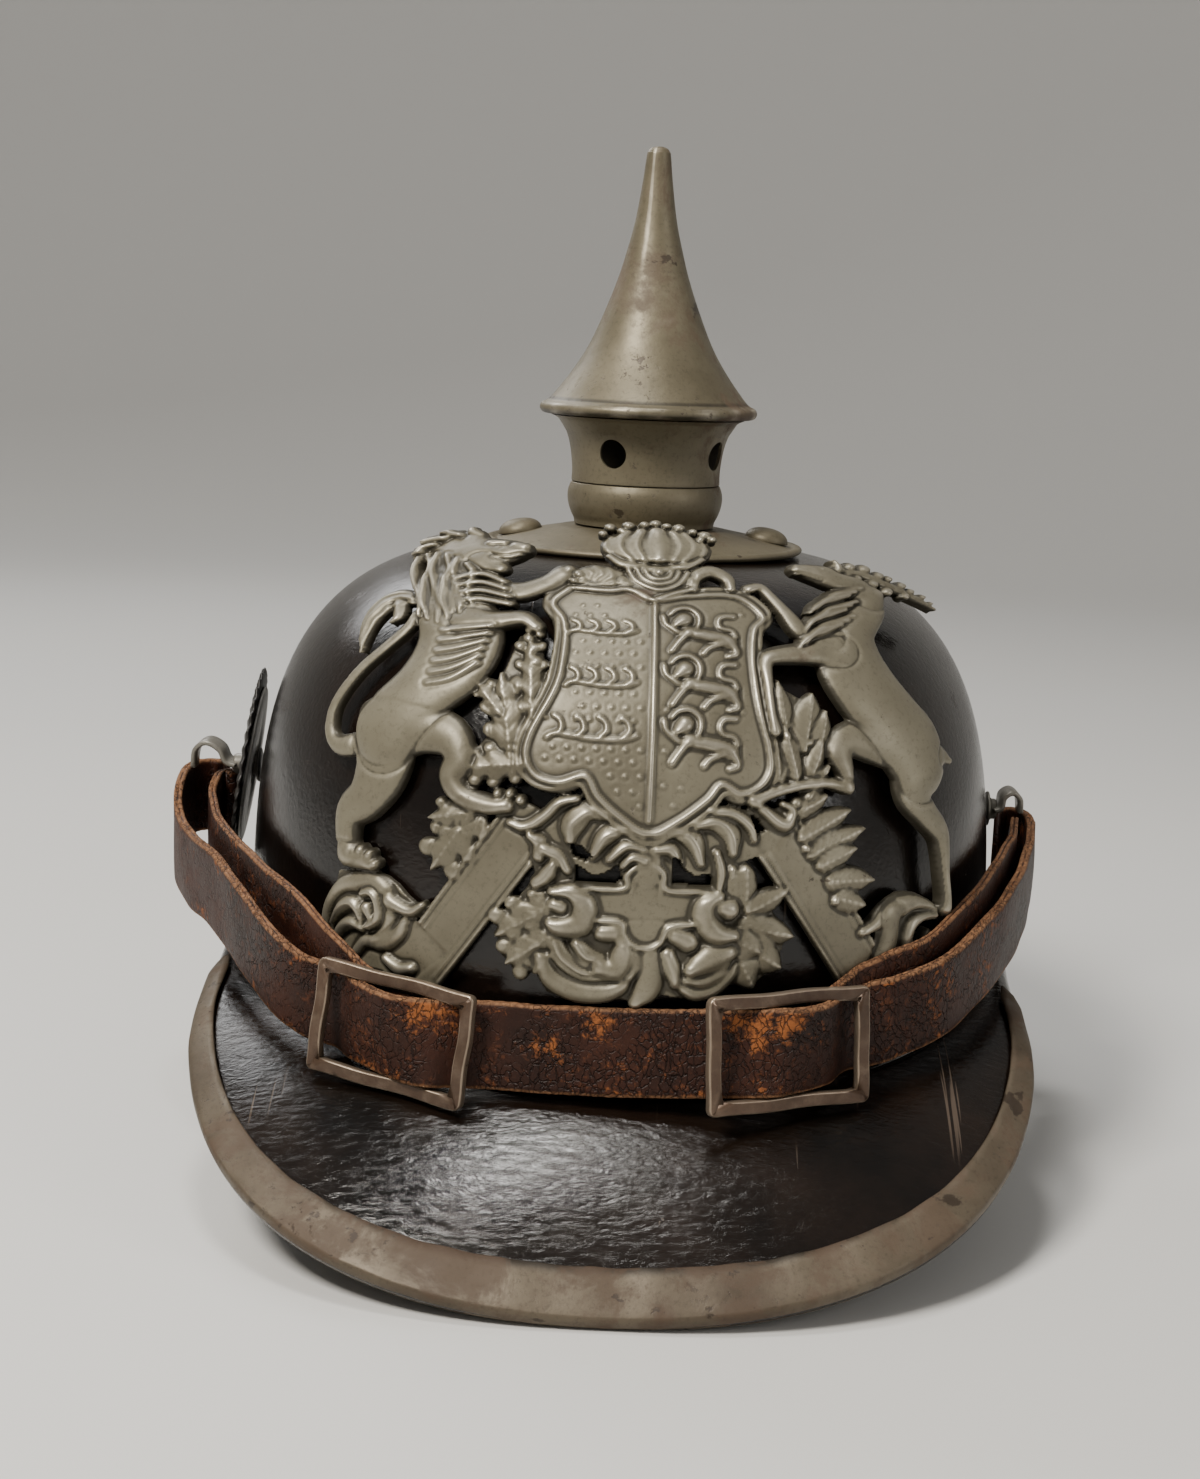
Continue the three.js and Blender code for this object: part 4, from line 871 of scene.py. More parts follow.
panel([(-27, 7), (-29.8, 9), (-30.2, 12), (-31.8, 13.6), (-30.6, 16), (-30, 18.6), (-27, 21.6),
       (-25, 24), (-23.4, 27), (-24.5, 33), (-27, 36.4), (-22, 41), (-12, 43), (0, 38),
       (12, 43), (22, 41.6), (28, 42), (31, 39), (27, 33.5), (20, 31), (24, 24), (30.4, 15.6),
       (28, 8.6), (24, 5.4), (20, 5), (15, 4.4), (8, 2), (2, 3), (-2.6, 1.2), (-7, 2),
       (-12.6, 0.6), (-20, 2.2), (-22.4, 6), (-24.6, 7.6)], 1.5)
panel([(-37, 46.6), (-37, 52), (-32, 58), (-33, 66), (-30, 74), (-28, 80), (-23.4, 80),
       (-22, 70), (-24, 62), (-26, 50)], 1.2)
panel([(27, 46), (26, 66), (29, 68), (34, 65), (38, 60), (38, 52), (34, 45)], 1.2)
leaf((-36, 40), (-46, 25.6), 5.6, 2.7, 3)
leaf((-36, 39), (-47, 36.4), 3.6, 2.6, 2)
for foot, tip, width in (
    ((31, 41), (38, 44.4), 2.5), ((32, 35.4), (43.8, 41), 2.8), ((34, 31.8), (47.6, 36.8), 2.8),
    ((36.4, 29.4), (45.8, 32.8), 2.4), ((39, 26), (50.6, 25.6), 2.9),
    ((41, 22.4), (48.8, 20.2), 2.4),
    ((17.4, 30), (18.2, 21.6), 2.1), ((20.2, 30), (20.6, 20.8), 2.4),
    ((20.6, 20.4), (29.4, 24.8), 2.4),
    ((19, 17.6), (31.2, 15), 3.2), ((18.6, 14.6), (28.6, 8.4), 3.8),
    ((18.6, 12.6), (22.6, 4.4), 3.1),
    ((15.5, 16), (24, 12), 3.0),
):
    leaf(foot, tip, width)
leaf((-18.4, 21.6), (-31, 13.4), 5.2, 2.9, 3)
leaf((-19, 14.8), (-28.6, 7.8), 4.8, 3.0, 3)
leaf((-19.4, 10.6), (-22.6, 6.2), 2.8, 2.8, 2)
stamp([(-22.8, 25.6, 1.5), (-21, 26, 1.7)], 2.9, 0.4)
panel([(-18, 25.8), (-18, 14), (-10, 14), (-4.6, 12.4), (5, 12.4), (10, 14), (16, 14),
       (16, 25.4)], 1.9)
for rows, height, pattern in (
    ([(-21.4, 9.6, 1.6), (-19.2, 5.6, 2.5), (-14.4, 3.4, 2.8), (-9, 3.1, 2.6),
      (-5.2, 4.4, 2.0), (-3.4, 6.6, 1.2)], 3.2, None),
    ([(-18.4, 13.4, 1.8), (-16.4, 9.8, 2.5), (-12.6, 7.6, 2.4), (-8.2, 7.4, 2.4)], 3.4,
     locks(3, 0.28)),
    ([(-14, 13.6, 1.7), (-11.8, 10.8, 2.2), (-8.8, 9.6, 2.0)], 3.6, locks(2, 0.25)),
    ([(-9, 8.4, 2.0), (-5.8, 8.4, 3.0), (-4.2, 11.4, 3.0), (-4.6, 14, 1.9)], 4.0, None),
    ([(-1.6, 12.6, 1.1), (-1.6, 9, 1.3), (-3, 6.6, 0.9)], 3.1, None),
    ([(1, 12, 2.3), (1.4, 8, 2.8), (0.6, 4, 2.9), (-1.6, 1.2, 1.6)], 3.2, None),
    ([(4.6, 11.6, 1.8), (5.6, 8.6, 2.1), (6.6, 5.6, 1.5)], 3.5, locks(3, 0.22)),
    ([(8.2, 4.4, 1.4), (10.6, 3.3, 1.9), (14.2, 4.4, 2.0), (17.4, 7.2, 1.7), (18.4, 9.4, 0.9)],
     3.1, None),
    ([(8.6, 6.3, 1.1), (12, 6.1, 1.7), (15.4, 7.9, 1.6), (17, 9.8, 0.9)], 3.4, None),
    ([(9.4, 8.4, 1.8), (12, 10, 3.0), (14.6, 11.4, 3.4), (16.8, 12.2, 2.4)], 4.0, None),
    ([(-8.8, 16, 2.1), (-6.2, 16.2, 2.5)], 3.6, None),
    ([(6.0, 16, 2.3), (8.6, 14.6, 2.6)], 3.6, None),
    ([(-19.4, 24, 1.1), (-15.2, 24, 2.2), (-12.8, 21.4, 3.0), (-13.6, 17.8, 3.3),
      (-17.6, 16.8, 2.5), (-19.6, 17.4, 1.2)], 4.3, None),
    ([(-18.8, 21.4, 1.6), (-17.4, 20.9, 2.0)], 3.9, None),
    ([(18, 15.8, 1.4), (14.4, 16.2, 2.7), (12, 19.2, 3.1), (12.2, 22.4, 2.6),
      (14.6, 24.2, 1.5)], 4.3, None),
    ([(15.6, 21.7, 2.1), (16.8, 21.3, 2.5)], 4.2, None),
):
    stamp(rows, height, 0.4, pattern)
arch = [(-17.4, 25.1), (-5.2, 25.2), (-4.3, 28.2), (-2, 30.2), (1, 30.4), (3.2, 28.6),
        (4.1, 25.2), (14, 25)]
panel([(-4.6, 24), (-4.6, 28), (-2, 30.8), (1.4, 30.8), (4.2, 28), (4.4, 24)], 1.9)
ridge(arch, 0.7, 2.8)
ridge([(-3.2, 24.4), (-2.6, 27.4), (-0.6, 28.7), (1.6, 28.2), (2.6, 26), (2.8, 24.4)], 0.35,
      2.4, 0.1)
panel([(-4.4, 18.6), (-3.8, 15.4), (-2, 13.6), (0.2, 13.1), (2.6, 14.2), (4.2, 16.6),
       (4.6, 18.6)], 2.2)
ridge([(-9.8, 18.5), (-5.2, 18.3), (-4.3, 15.6), (-2.4, 13.6), (0.2, 13), (2.9, 14.2),
       (4.6, 17.6), (9.6, 18.2)], 0.75, 3.3)

# acanthus under the shield, with pierced ground
for rows, count in (
    ([(-1, 36.4, 1.8), (-4.6, 37.6, 1.9), (-8.8, 36, 2.0), (-11.4, 31.8, 1.0)], 2),
    ([(-1, 33.6, 1.5), (-4.6, 34.2, 1.6), (-8, 31.2, 0.9)], 2),
    ([(-0.8, 31.4, 1.3), (-3.4, 31.8, 1.2), (-5.2, 30, 0.8)], 1),
    ([(1.4, 36.6, 1.8), (5.4, 37.6, 2.0), (9, 35.6, 2.2), (10.8, 30.8, 1.0)], 2),
    ([(1.4, 33.8, 1.5), (4.6, 33.6, 1.6), (6.4, 30.6, 0.9)], 2),
    ([(9.6, 39, 1.4), (13.6, 39.6, 2.2), (16.8, 37, 2.2), (17.4, 33, 1.1)], 2),
    ([(12.4, 42, 1.1), (17, 41.2, 1.4), (20.6, 38.8, 1.4), (21.8, 35.6, 0.8)], 1),
    ([(-8.6, 40.4, 1.6), (-12.6, 41, 2.2), (-15.6, 38, 2.6), (-16, 34.8, 1.3)], 2),
    ([(-14.8, 43.4, 0.9), (-18.6, 42.4, 1.3), (-21.6, 39.2, 1.4), (-25.4, 36.8, 1.4),
      (-28.8, 37.4, 0.9)], 1),
    ([(-24.4, 35.2, 1.2), (-22.2, 33.6, 1.9), (-22.4, 31, 1.6)], 1),
    ([(-21, 32.6, 1.4), (-18.6, 31, 1.9), (-16.4, 28.4, 1.1)], 1),
    ([(-19.4, 29.4, 1.4), (-20.4, 27.4, 1.9), (-22.8, 25.2, 1.5)], 1),
    ([(14, 33, 0.9), (15, 29.6, 1.2), (14.6, 25.8, 1.0)], 1),
    ([(20, 45.5, 1.0), (24, 41.6, 1.4), (28.6, 38.6, 1.8), (30, 41.6, 1.2), (27.8, 43, 0.8)], 1),
):
    stamp(rows, 3.2, 0.6, locks(count, 0.22))
stamp([(-12.4, 43.6, 1.0), (-6.6, 39.4, 1.5), (-0.4, 37, 2.0), (5.6, 39.4, 1.5),
       (12, 43.6, 1.0)], 2.4, 0.2)
stamp([(0, 36, 2.4), (0, 31, 2.6), (0, 28, 2.4)], 2.3, round_power=4)

for hole in ([(-16.6, 34.2), (-13.6, 33.6), (-11.4, 31.6), (-12.6, 30.4), (-15.6, 31.4)],
             [(-15, 29.8), (-11, 27.6), (-8.6, 28.4), (-6.2, 30.4), (-5, 27), (-6.4, 26),
              (-15, 26)],
             [(4.8, 32.4), (4.9, 26.2), (13.4, 26), (13.2, 28.6), (9.6, 28.2), (7.4, 29.8),
              (6.4, 31.8)],
             [(-24.6, 89.6), (-20.6, 90.6), (-19, 94.4), (-17.6, 96), (-19.8, 95.6),
              (-23.6, 92.6)],
             [(-22.6, 43.6), (-19, 43.2), (-17.2, 44.6), (-21.6, 45.6)],
             [(22.6, 36.4), (25, 37.4), (22.8, 40), (21, 41), (21.6, 38.4)]):
    pierced(hole)

# oak to the left of the shield, laurel to its right
leaf((-28.4, 48), (-31.6, 70), 5.4, 2.7, 4)
leaf((-24.6, 60), (-25.4, 80.6), 3.4, 2.8, 4)
leaf((-31, 60), (-37.6, 68.6), 2.8, 2.6, 2)
leaf((-25.6, 50), (-39.6, 48), 4.4, 2.9, 3)
for u, v in ((-27.6, 77.4), (-24.6, 77), (-25.8, 79.6), (-24, 73.6)):
    bead(u, v, 1.5, 3.2)
for foot, tip, width in (
    ((28.6, 57), (26.8, 70.4), 2.4), ((32.8, 54), (34.6, 67.4), 3.4), ((36, 52), (37.8, 63), 2.4),
    ((31.4, 46.6), (28, 59.6), 2.2), ((34.4, 47.6), (36.6, 56.6), 2.1),
    ((27.6, 46.4), (26, 54), 1.9),
    ((33.6, 44), (38.6, 50.6), 1.9),
):
    leaf(foot, tip, width)
for u, v, r in ((31, 43.2, 1.2), (28.8, 57.6, 1.0), (34, 56, 0.9), (41, 21.6, 1.0),
                (33.6, 33.4, 1.0)):
    bead(u, v, r, 3.2)

# the shield: a quartered field sunk inside a double rim
SHIELD = [(-16.6, 94.8), (-9, 93.8), (-4.4, 94.2), (0.4, 91.2), (8, 93), (18.2, 93.6),
          (24, 88), (22, 84), (21.3, 78), (21.7, 70), (22.7, 63), (24.4, 56), (24.9, 50.5),
          (22.6, 46.8), (18.7, 45.4), (14.5, 47.4), (11.6, 44.2), (5.2, 39.4), (-0.3, 37),
          (-6, 40.2), (-10.7, 44.4), (-13.3, 48.4), (-18.8, 46.7), (-23.5, 47.8),
          (-25.7, 51.8), (-24.7, 57), (-21, 64.6), (-19, 70), (-18.1, 76.6), (-17.9, 81),
          (-18.5, 85.3), (-20.6, 90)]
stamp([(u, v, 2.7) for u, v in SHIELD + SHIELD[:1]], 2.3, 0.4, round_power=3)
panel([tuple(row[:2]) for row in curved([(u, v, 1) for u, v in SHIELD + SHIELD[:1]], 3)[:-1]], 2.2)
ridge(SHIELD + SHIELD[:1], 0.85, 3.3)
middle = np.array((0.15, 67))
outer = []
for row in np.array(SHIELD):
    grown = (row - middle) * (1 + 2.2 / np.hypot(*(row - middle)))
    outer.append(tuple(grown + middle))
ridge(outer + outer[:1], 0.6, 2.7, 0.1)
ridge([(0.9, 91), (0.4, 66), (-0.2, 39.6)], 0.65, 3.3, 0.1)
for row, v in enumerate((89.2, 86.4, 79.4, 76.4, 73, 66.6, 63.4, 60.4, 54.2, 51.6, 48.6, 45.4,
                         42.4)):
    for k in range(8):
        u = -2.2 - 3.0 * k - 1.5 * (row % 2)
        edge = {89.2: -15, 48.6: -10.5, 45.4: -8, 42.4: -5}.get(v, -17.2 if v > 62 else -22.6)
        if u > edge and not (v > 80 and u > -9):
            bead(u, v, 0.62, 2.85, False)
for u, v in ((2.8, 54.2), (2.6, 46.8), (6.2, 46.4), (4.6, 42.8), (3.2, 63.2), (5, 73.6),
             (19, 63), (19.4, 88)):
    bead(u, v, 0.62, 2.85, False)
# three antlers in the left half
for v, left, rise in ((81.8, -17.6, 3.2), (68.8, -17.9, 3.8), (56.8, -21.6, 4.4)):
    span = -3 - left
    beam = [(left, v - 0.8), (left + 0.12 * span, v + 0.3), (left + 0.5 * span, v - 0.4),
            (left + 0.85 * span, v - 0.3), (left + span, v + 0.6)]
    ridge(beam, 0.6, 3.1, 0.2)
    for k in range(4):
        u = left + span * (0.1 + 0.25 * k)
        ridge([(u, v + 0.2), (u + 1.3, v + 0.3 * rise), (u + 1.0, v + 0.75 * rise),
               (u - 0.5, v + rise)], 0.55, 3.1, 0.2)
# three small lions passant in the right half of the field
for v in (80, 67, 54.2):
    stamp([(7.6, v + 2.6, 1.9), (11.2, v + 1.8, 1.7), (14.6, v + 0.9, 2.0), (16.4, v, 2.1)],
          3.5, 0.4)
    stamp([(6.9, v + 5.9, 2.2), (5.2, v + 4.5, 1.2)], 3.6, 0.4)
    for rows in (
        [(4.1, v + 7.3, 0.6), (5.4, v + 8.8, 0.8), (7.8, v + 9.2, 0.8), (9.7, v + 7.7, 0.8),
         (10.1, v + 5.6, 0.8), (9.6, v + 3.6, 0.6)],
        [(2.5, v + 6.6, 0.8), (3.1, v + 4.5, 0.7), (5.8, v + 2.2, 0.9)],
        [(7.2, v + 1.8, 1.2), (5.8, v, 0.9), (4.2, v - 2.5, 0.9)],
        [(14.6, v - 0.4, 1.1), (12.2, v - 1.4, 0.8), (10.8, v - 3, 0.8)],
        [(17.4, v - 1.2, 1.1), (17.9, v - 3, 0.8), (16.2, v - 3.6, 0.8)],
        [(17.9, v + 1.4, 0.6), (17, v + 3.1, 0.6), (14.7, v + 3.8, 0.6), (14.1, v + 5.5, 0.6),
         (15, v + 7.1, 0.7), (17.5, v + 7.3, 0.8)],
    ):
        stamp(rows, 3.1, 0.3, pierce=False, soft=0.3)

# crown, its cap of lobes and the oval between two scrolls
stamp([(-5.2, 109, 5.4), (2, 109.6, 7.4), (8.8, 109, 5.2)], 3.1, 0.3)
for rows, height in (
    ([(-7.8, 112, 1.2), (-8.6, 108.4, 1.6), (-5.6, 103.8, 1.2)], 2.9),
    ([(11.4, 111.6, 1.0), (11.6, 108, 1.3), (9, 104, 1.1)], 2.9),
    ([(-4.6, 114, 1.6), (-5.8, 109.2, 2.7), (-3.4, 104.2, 1.8)], 3.5),
    ([(7.6, 114, 1.6), (8.9, 109.4, 2.6), (7, 104.2, 1.7)], 3.5),
    ([(-1.4, 114.2, 1.8), (-2.2, 109.6, 3.0), (-0.8, 104.6, 2.0)], 3.8),
    ([(5.2, 114.2, 1.7), (6.2, 109.6, 2.7), (4.8, 104.6, 1.8)], 3.8),
    ([(2, 114.4, 2.2), (2.1, 109.8, 3.6), (2.1, 105.2, 2.6)], 4.2),
    ([(-8.6, 105.4, 0.9), (-5.4, 102.6, 1.5), (1.4, 101.4, 1.6), (8, 102.6, 1.4),
      (11.6, 105.4, 0.8)], 3.0),
    ([(-21.6, 97.4, 1.8), (-18.4, 100, 2.4), (-15.6, 99.4, 1.7)], 3.4),
    ([(9.2, 95.2, 1.3), (9.6, 99, 1.9), (13, 101.4, 2.2), (16.6, 99.4, 1.9), (17.4, 96, 1.3)],
     3.3),
    ([(-16, 97.2, 1.8), (-12.4, 99.4, 3.0), (-8, 98.2, 3.2), (-5.4, 96, 1.8)], 2.7),
    ([(-5, 97, 2), (1.6, 97.4, 5.0), (7, 98, 2.4)], 2.4),
):
    stamp(rows, height, 0.7, stripes(2.2, 0.2, 0.6) if height == 2.7 else None)
for dip, r in ((0.0, 0.7), (1.8, 0.6), (3.4, 0.5)):
    ridge([(-4.6 + dip, 101), (-3 + dip * 0.8, 97.4 + dip * 0.5), (1.6, 94.6 + dip),
           (6 - dip * 0.6, 96.6 + dip * 0.6), (8.2 - dip, 100.6)], r, 3.2, 0.25)
bead(2, 100.4, 1.1, 3.4)
for u, v, r in ((-8.2, 116, 1.5), (-9.8, 113.6, 1.2), (-4.2, 116.8, 1.6), (-5.8, 114.8, 1.1),
                (-0.6, 117.2, 1.4), (1.8, 117.8, 1.5), (4.2, 117, 1.3), (6.8, 116.6, 1.6),
                (9.8, 115.4, 1.2), (12.4, 114.4, 1.7), (14, 113, 1.2), (11.4, 112.8, 1.1)):
    stamp([(u, v, r)], 3.4, 0.4, stripes(1.1, 0.12))
ridge([(-15.6, 94.6), (-9, 93.9), (-4.4, 94.4), (0.6, 91.4)], 0.8, 3.4)
ridge([(0.6, 91.4), (5, 93.6), (9, 95.2)], 0.8, 3.2)

# the lion: hind parts first, then trunk, head, mane and forepaws
for rows, height, pattern in (
    ([(-66, 49.6, 2.6), (-73, 48, 2.4), (-76.4, 50.4, 2), (-75.7, 56, 1.6), (-72.4, 62, 1.5),
      (-67, 69, 1.5), (-60.5, 75.5, 1.5), (-54.8, 81.6, 1.5), (-52.4, 86.4, 1.4)], 2.7, None),
    ([(-52.6, 91.4, 2.4), (-57.5, 92, 3.4), (-62.4, 88.8, 3.2), (-65.6, 83.6, 2.5),
      (-67, 78.4, 1.6), (-67.2, 73.6, 0.4)], 3.0, locks(3, 0.3)),
    ([(-57, 89.6, 2.0), (-57.2, 85.6, 1.7), (-59, 83.2, 0.5)], 3.2, locks(2, 0.2)),
    ([(-60, 52, 8.6), (-60.5, 45, 7), (-64, 38.4, 5.1), (-68.8, 34.2, 4), (-69.4, 29, 3.3),
      (-68.6, 25.4, 3.4)], 3.9, None),
    ([(-69.4, 25, 2.9), (-65, 25, 2.8), (-61.6, 24.2, 1.8)], 3.4, None),
    ([(-60, 54, 8), (-51, 55.2, 6), (-43.5, 54.4, 5), (-40.6, 50, 3.6), (-42, 45.4, 3.1),
      (-39.6, 42, 2.6), (-34, 40.6, 2.3), (-29.6, 41, 1.9)], 3.8, None),
    ([(-44, 97, 8.4), (-43, 88, 9.6), (-41.6, 79, 10.2), (-44.4, 71.4, 9.2), (-50, 64.4, 7.8),
      (-56, 57.6, 8), (-59.6, 52.4, 8.2)], 4.6, None),
    ([(-38.6, 83.4, 4.4), (-33, 84.2, 3), (-27, 85, 2.3), (-24, 82.6, 1.8)], 4.6, None),
    ([(-35, 94, 3.8), (-28, 93.4, 3.1), (-22.4, 95.8, 2.7), (-18.6, 98.8, 2.5)], 3.6, None),
):
    stamp(rows, height, 0.7, pattern, round_power=2.2)
for k in range(6):
    ridge([(-47.5 + 0.6 * k, 66.6 + 2.9 * k), (-42 + 0.5 * k, 68.4 + 2.7 * k),
           (-36.4 + 0.6 * k, 72.6 + 2.0 * k)], 1.0, 5.0, 0.35)
for u, v, r in ((-64.6, 26.8, 1.3), (-62, 26.2, 1.3), (-60.4, 24.4, 1.2), (-67.4, 26.4, 1.2),
                (-31.4, 43.2, 1.2), (-28.8, 43.4, 1.2), (-26.6, 42.2, 1.2), (-17, 100.8, 1.2),
                (-15, 99, 1.2), (-16.2, 97, 1.0), (-23.4, 80.6, 1.1), (-25.6, 81.6, 1.1)):
    bead(u, v, r, 3.6)
for rows, height in (
    ([(-51, 109.6, 4.4), (-52.4, 107.4, 2.2)], 3.6), ([(-47.4, 112.6, 4.4), (-50, 114.6, 1.8)],
                                                      3.8),
    ([(-42.6, 113.4, 4.2), (-44.6, 116.6, 1.6)], 3.8),
    ([(-38.6, 113.6, 3.2), (-39.2, 117, 1.4)], 3.6),
    ([(-42, 107, 8), (-36.4, 107.2, 6.4), (-30.4, 107.8, 4.2), (-27.4, 108.2, 2.6)], 4.4),
    ([(-36, 103.4, 3.8), (-32.4, 101.4, 2.2)], 3.6),
    ([(-34.4, 110.8, 1.3), (-31, 110.6, 1.0)], 4.6),
    ([(-28.6, 109.6, 1.3), (-26.2, 108.8, 1.2)], 4.4),
):
    stamp(rows, height, 0.6, round_power=2.2)
bead(-32.4, 108.8, 0.75, 4.6, False)
ridge([(-27.4, 105.8), (-30.4, 105), (-34, 105.6)], 0.4, 4.2, 0.8)
mane = [(-51.6, 107, -52.2, 97, -51.0, 85.4), (-49.4, 108, -49.8, 98, -48.6, 84.4),
        (-47, 108, -47.4, 97, -46, 83.4), (-44.4, 107, -44.8, 96.6, -43.4, 85),
        (-42, 105, -41.8, 96, -40.8, 86.6), (-39.6, 103, -38.6, 97, -38, 89),
        (-48, 112, -51.6, 110.6, -53.8, 108.6), (-45, 114.4, -48.6, 114, -51.4, 113),
        (-41.6, 114.8, -44.4, 116.4, -47, 116.4)]
for number, (ua, va, ub, vb, uc, vc) in enumerate(mane):
    sway = 0.9 if number % 2 else -0.9
    rows = [(ua, va, 1.1), ((ua + ub) / 2 + sway, (va + vb) / 2, 1.5), (ub, vb, 1.5),
            ((ub + uc) / 2 - sway, (vb + vc) / 2, 1.5), (uc, vc, 0.5)]
    stamp(rows, 5.0 - 0.1 * (number % 3), 0.5, locks(2, 0.14), soft=0.3)
for k in range(4):
    ridge([(-41.6 + 0.8 * k, 98.4 - 2.6 * k), (-36, 99.2 - 2.8 * k),
           (-31.2 + 0.5 * k, 96.4 - 2.4 * k)], 1.2, 4.6, 0.5)

# the stag: legs, trunk, neck, head, antlers and the curls of its throat
for rows, height in (
    ([(64.5, 50, 8), (62.5, 44, 5.4), (66, 38.5, 3.6), (71.2, 33.6, 3), (72.6, 29.5, 2.4),
      (73.4, 24, 1.7), (74.6, 18.8, 1.7), (74.8, 16, 2.1)], 3.8),
    ([(60, 54, 6.6), (52, 55.2, 5.4), (44.4, 56.4, 4.2), (41.4, 54, 3.4), (42.6, 49.4, 2.1),
      (43.2, 46, 1.9)], 3.7),
    ([(43.4, 45.6, 1.7), (38, 47, 1.3), (31, 46.6, 1.2), (25, 45.2, 1.3), (21.6, 43.8, 1.7)], 3.2),
    ([(52.5, 98.6, 3.8), (50.6, 92, 5.2), (45.6, 84, 6.6), (45.2, 76, 8.6), (49.4, 68, 8.8),
      (55.4, 60.8, 8.6), (61.4, 54, 8.8), (64.6, 48.8, 8.2)], 4.7),
    ([(71, 50.4, 2.4), (74.8, 48.6, 0.9)], 3.0),
    ([(38.6, 82.6, 3.8), (33, 84.2, 2.7), (29.3, 89.4, 1.9), (26.2, 94, 1.6), (23.8, 97, 1.6),
      (21.4, 96.4, 1.6)], 3.8),
    ([(41, 78.6, 4.4), (33.6, 77.9, 3.1), (26.4, 76.9, 2.3), (24.2, 75.2, 1.9),
      (24.4, 70, 1.3), (25.1, 63, 1.1), (26, 58.8, 1.5)], 3.9),
    ([(51.4, 97.4, 5), (47.4, 101, 4.8), (41.2, 103.4, 4.2), (36.4, 104.3, 3.1),
      (33.2, 104.7, 2.1)], 4.2),
    ([(44, 106.8, 1.7), (42.6, 109.6, 0.7)], 4.4),
    ([(46, 106.4, 1.7), (50.6, 106.6, 2), (56, 104.6, 2.1), (62, 102.6, 2), (68, 100.4, 1.7),
      (74.4, 97.2, 0.8)], 3.2),
):
    stamp(rows, height, 0.7, round_power=2.2)
for u, v, r in ((47.4, 108.8, 1.9), (51.6, 108.9, 2.2), (55.8, 107.2, 2.0), (58.6, 106.6, 1.6),
                (62.8, 104.8, 1.9), (65.6, 103, 1.6), (69.8, 101.6, 1.4), (53.4, 103, 2.0),
                (57.6, 101, 2.0), (63.4, 100.4, 1.6), (72.6, 99.4, 1.0), (49, 104.4, 1.4)):
    bead(u, v, r, 3.9)
bead(38.8, 105.6, 0.7, 4.6, False)
bead(32.4, 105.6, 0.8, 4.0)
ridge([(32.4, 102.9), (35.4, 102.6), (38.4, 101.6)], 0.4, 3.4, 0.7)
for k in range(9):
    low_u, low_v = 44.6 - 1.2 * (k % 3) - 0.5 * k, 97.6 - 1.7 * k
    stamp([(low_u + 4, low_v + 2.6, 0.9), (low_u, low_v + 0.6, 1.5),
           (low_u - 4.4, low_v - 1.6, 1.3), (low_u - 6.6, low_v - 4.6 - 0.8 * (k % 2), 0.4)],
          4.4 + 0.2 * (k % 2), 0.35, locks(2, 0.12))


def blurred(grid, reach):
    """A grid smoothed over some cells."""
    taps = range(-int(3 * reach), int(3 * reach) + 1)
    for axis in (0, 1):
        grid = sum(np.roll(grid, k, axis) * exp(-0.5 * (k / reach) ** 2) for k in taps)
    return grid


on_sheet = reach_in > 0
weight = on_sheet.astype(float)


def levelled(grid, reach):
    """The mean of a grid over some cells, with the gaps in the sheet left out."""
    return blurred(grid * weight, reach) / np.maximum(blurred(weight, reach), 1e-6)


soft_face = np.where(on_sheet, levelled(relief, 0.8), SHEET)
wide = levelled(soft_face, 4.5)
standing = soft_face - wide
slope_u, slope_v = np.gradient(reach_in, CELL, axis=1), np.gradient(reach_in, CELL, axis=0)
steep = np.maximum(slope_u ** 2 + slope_v ** 2, 0.25)
push = np.where(on_sheet, 0, np.clip(-reach_in, 0, 1.5 * CELL))
out_u, out_v = U + push * slope_u / steep, V + push * slope_v / steep

# the plate's middle line up the dome, as (y, z)
LINE = np.array([(-109.9, 54), (-109.4, 75), (-106.3, 95), (-99.2, 113), (-87, 128.5),
                 (-72.5, 140), (-58, 149)])
fine_line = curved([(y, z, 0) for y, z in LINE], 24)[:, :2]
run_length = np.concatenate([[0], np.cumsum(np.hypot(*np.diff(fine_line, axis=0).T))])
# the radius of its bend, its turn about Z, and how far its wings lean back at the top
BEND_R, PLATE_TURN, PLATE_LEAN = 88.5, radians(3.2), radians(20)


def on_plate(u, v, w):
    """Bends flat points (u across, v up, w off the sheet's back) round the dome."""
    near = np.clip(v, 0, run_length[-1])
    y = np.interp(near, run_length, fine_line[:, 0])
    z = np.interp(near, run_length, fine_line[:, 1])
    z = z + np.minimum(v, 0) + np.maximum(v - run_length[-1], 0) * 0.5
    y = y + np.maximum(v - run_length[-1], 0) * 0.8
    lean = PLATE_LEAN * np.clip((v - 55) / 60, 0, 1.1)
    back = (BEND_R + w) * (1 - np.cos(u / BEND_R)) - w
    x = (BEND_R + w) * np.sin(u / BEND_R)
    y, z = y + back * np.cos(lean), z - back * np.sin(lean)
    turned_x = x * cos(PLATE_TURN) - y * sin(PLATE_TURN)
    turned_y = x * sin(PLATE_TURN) + y * cos(PLATE_TURN)
    return np.stack([turned_x + SKULL_X, turned_y + SKULL_Y, z], -1)


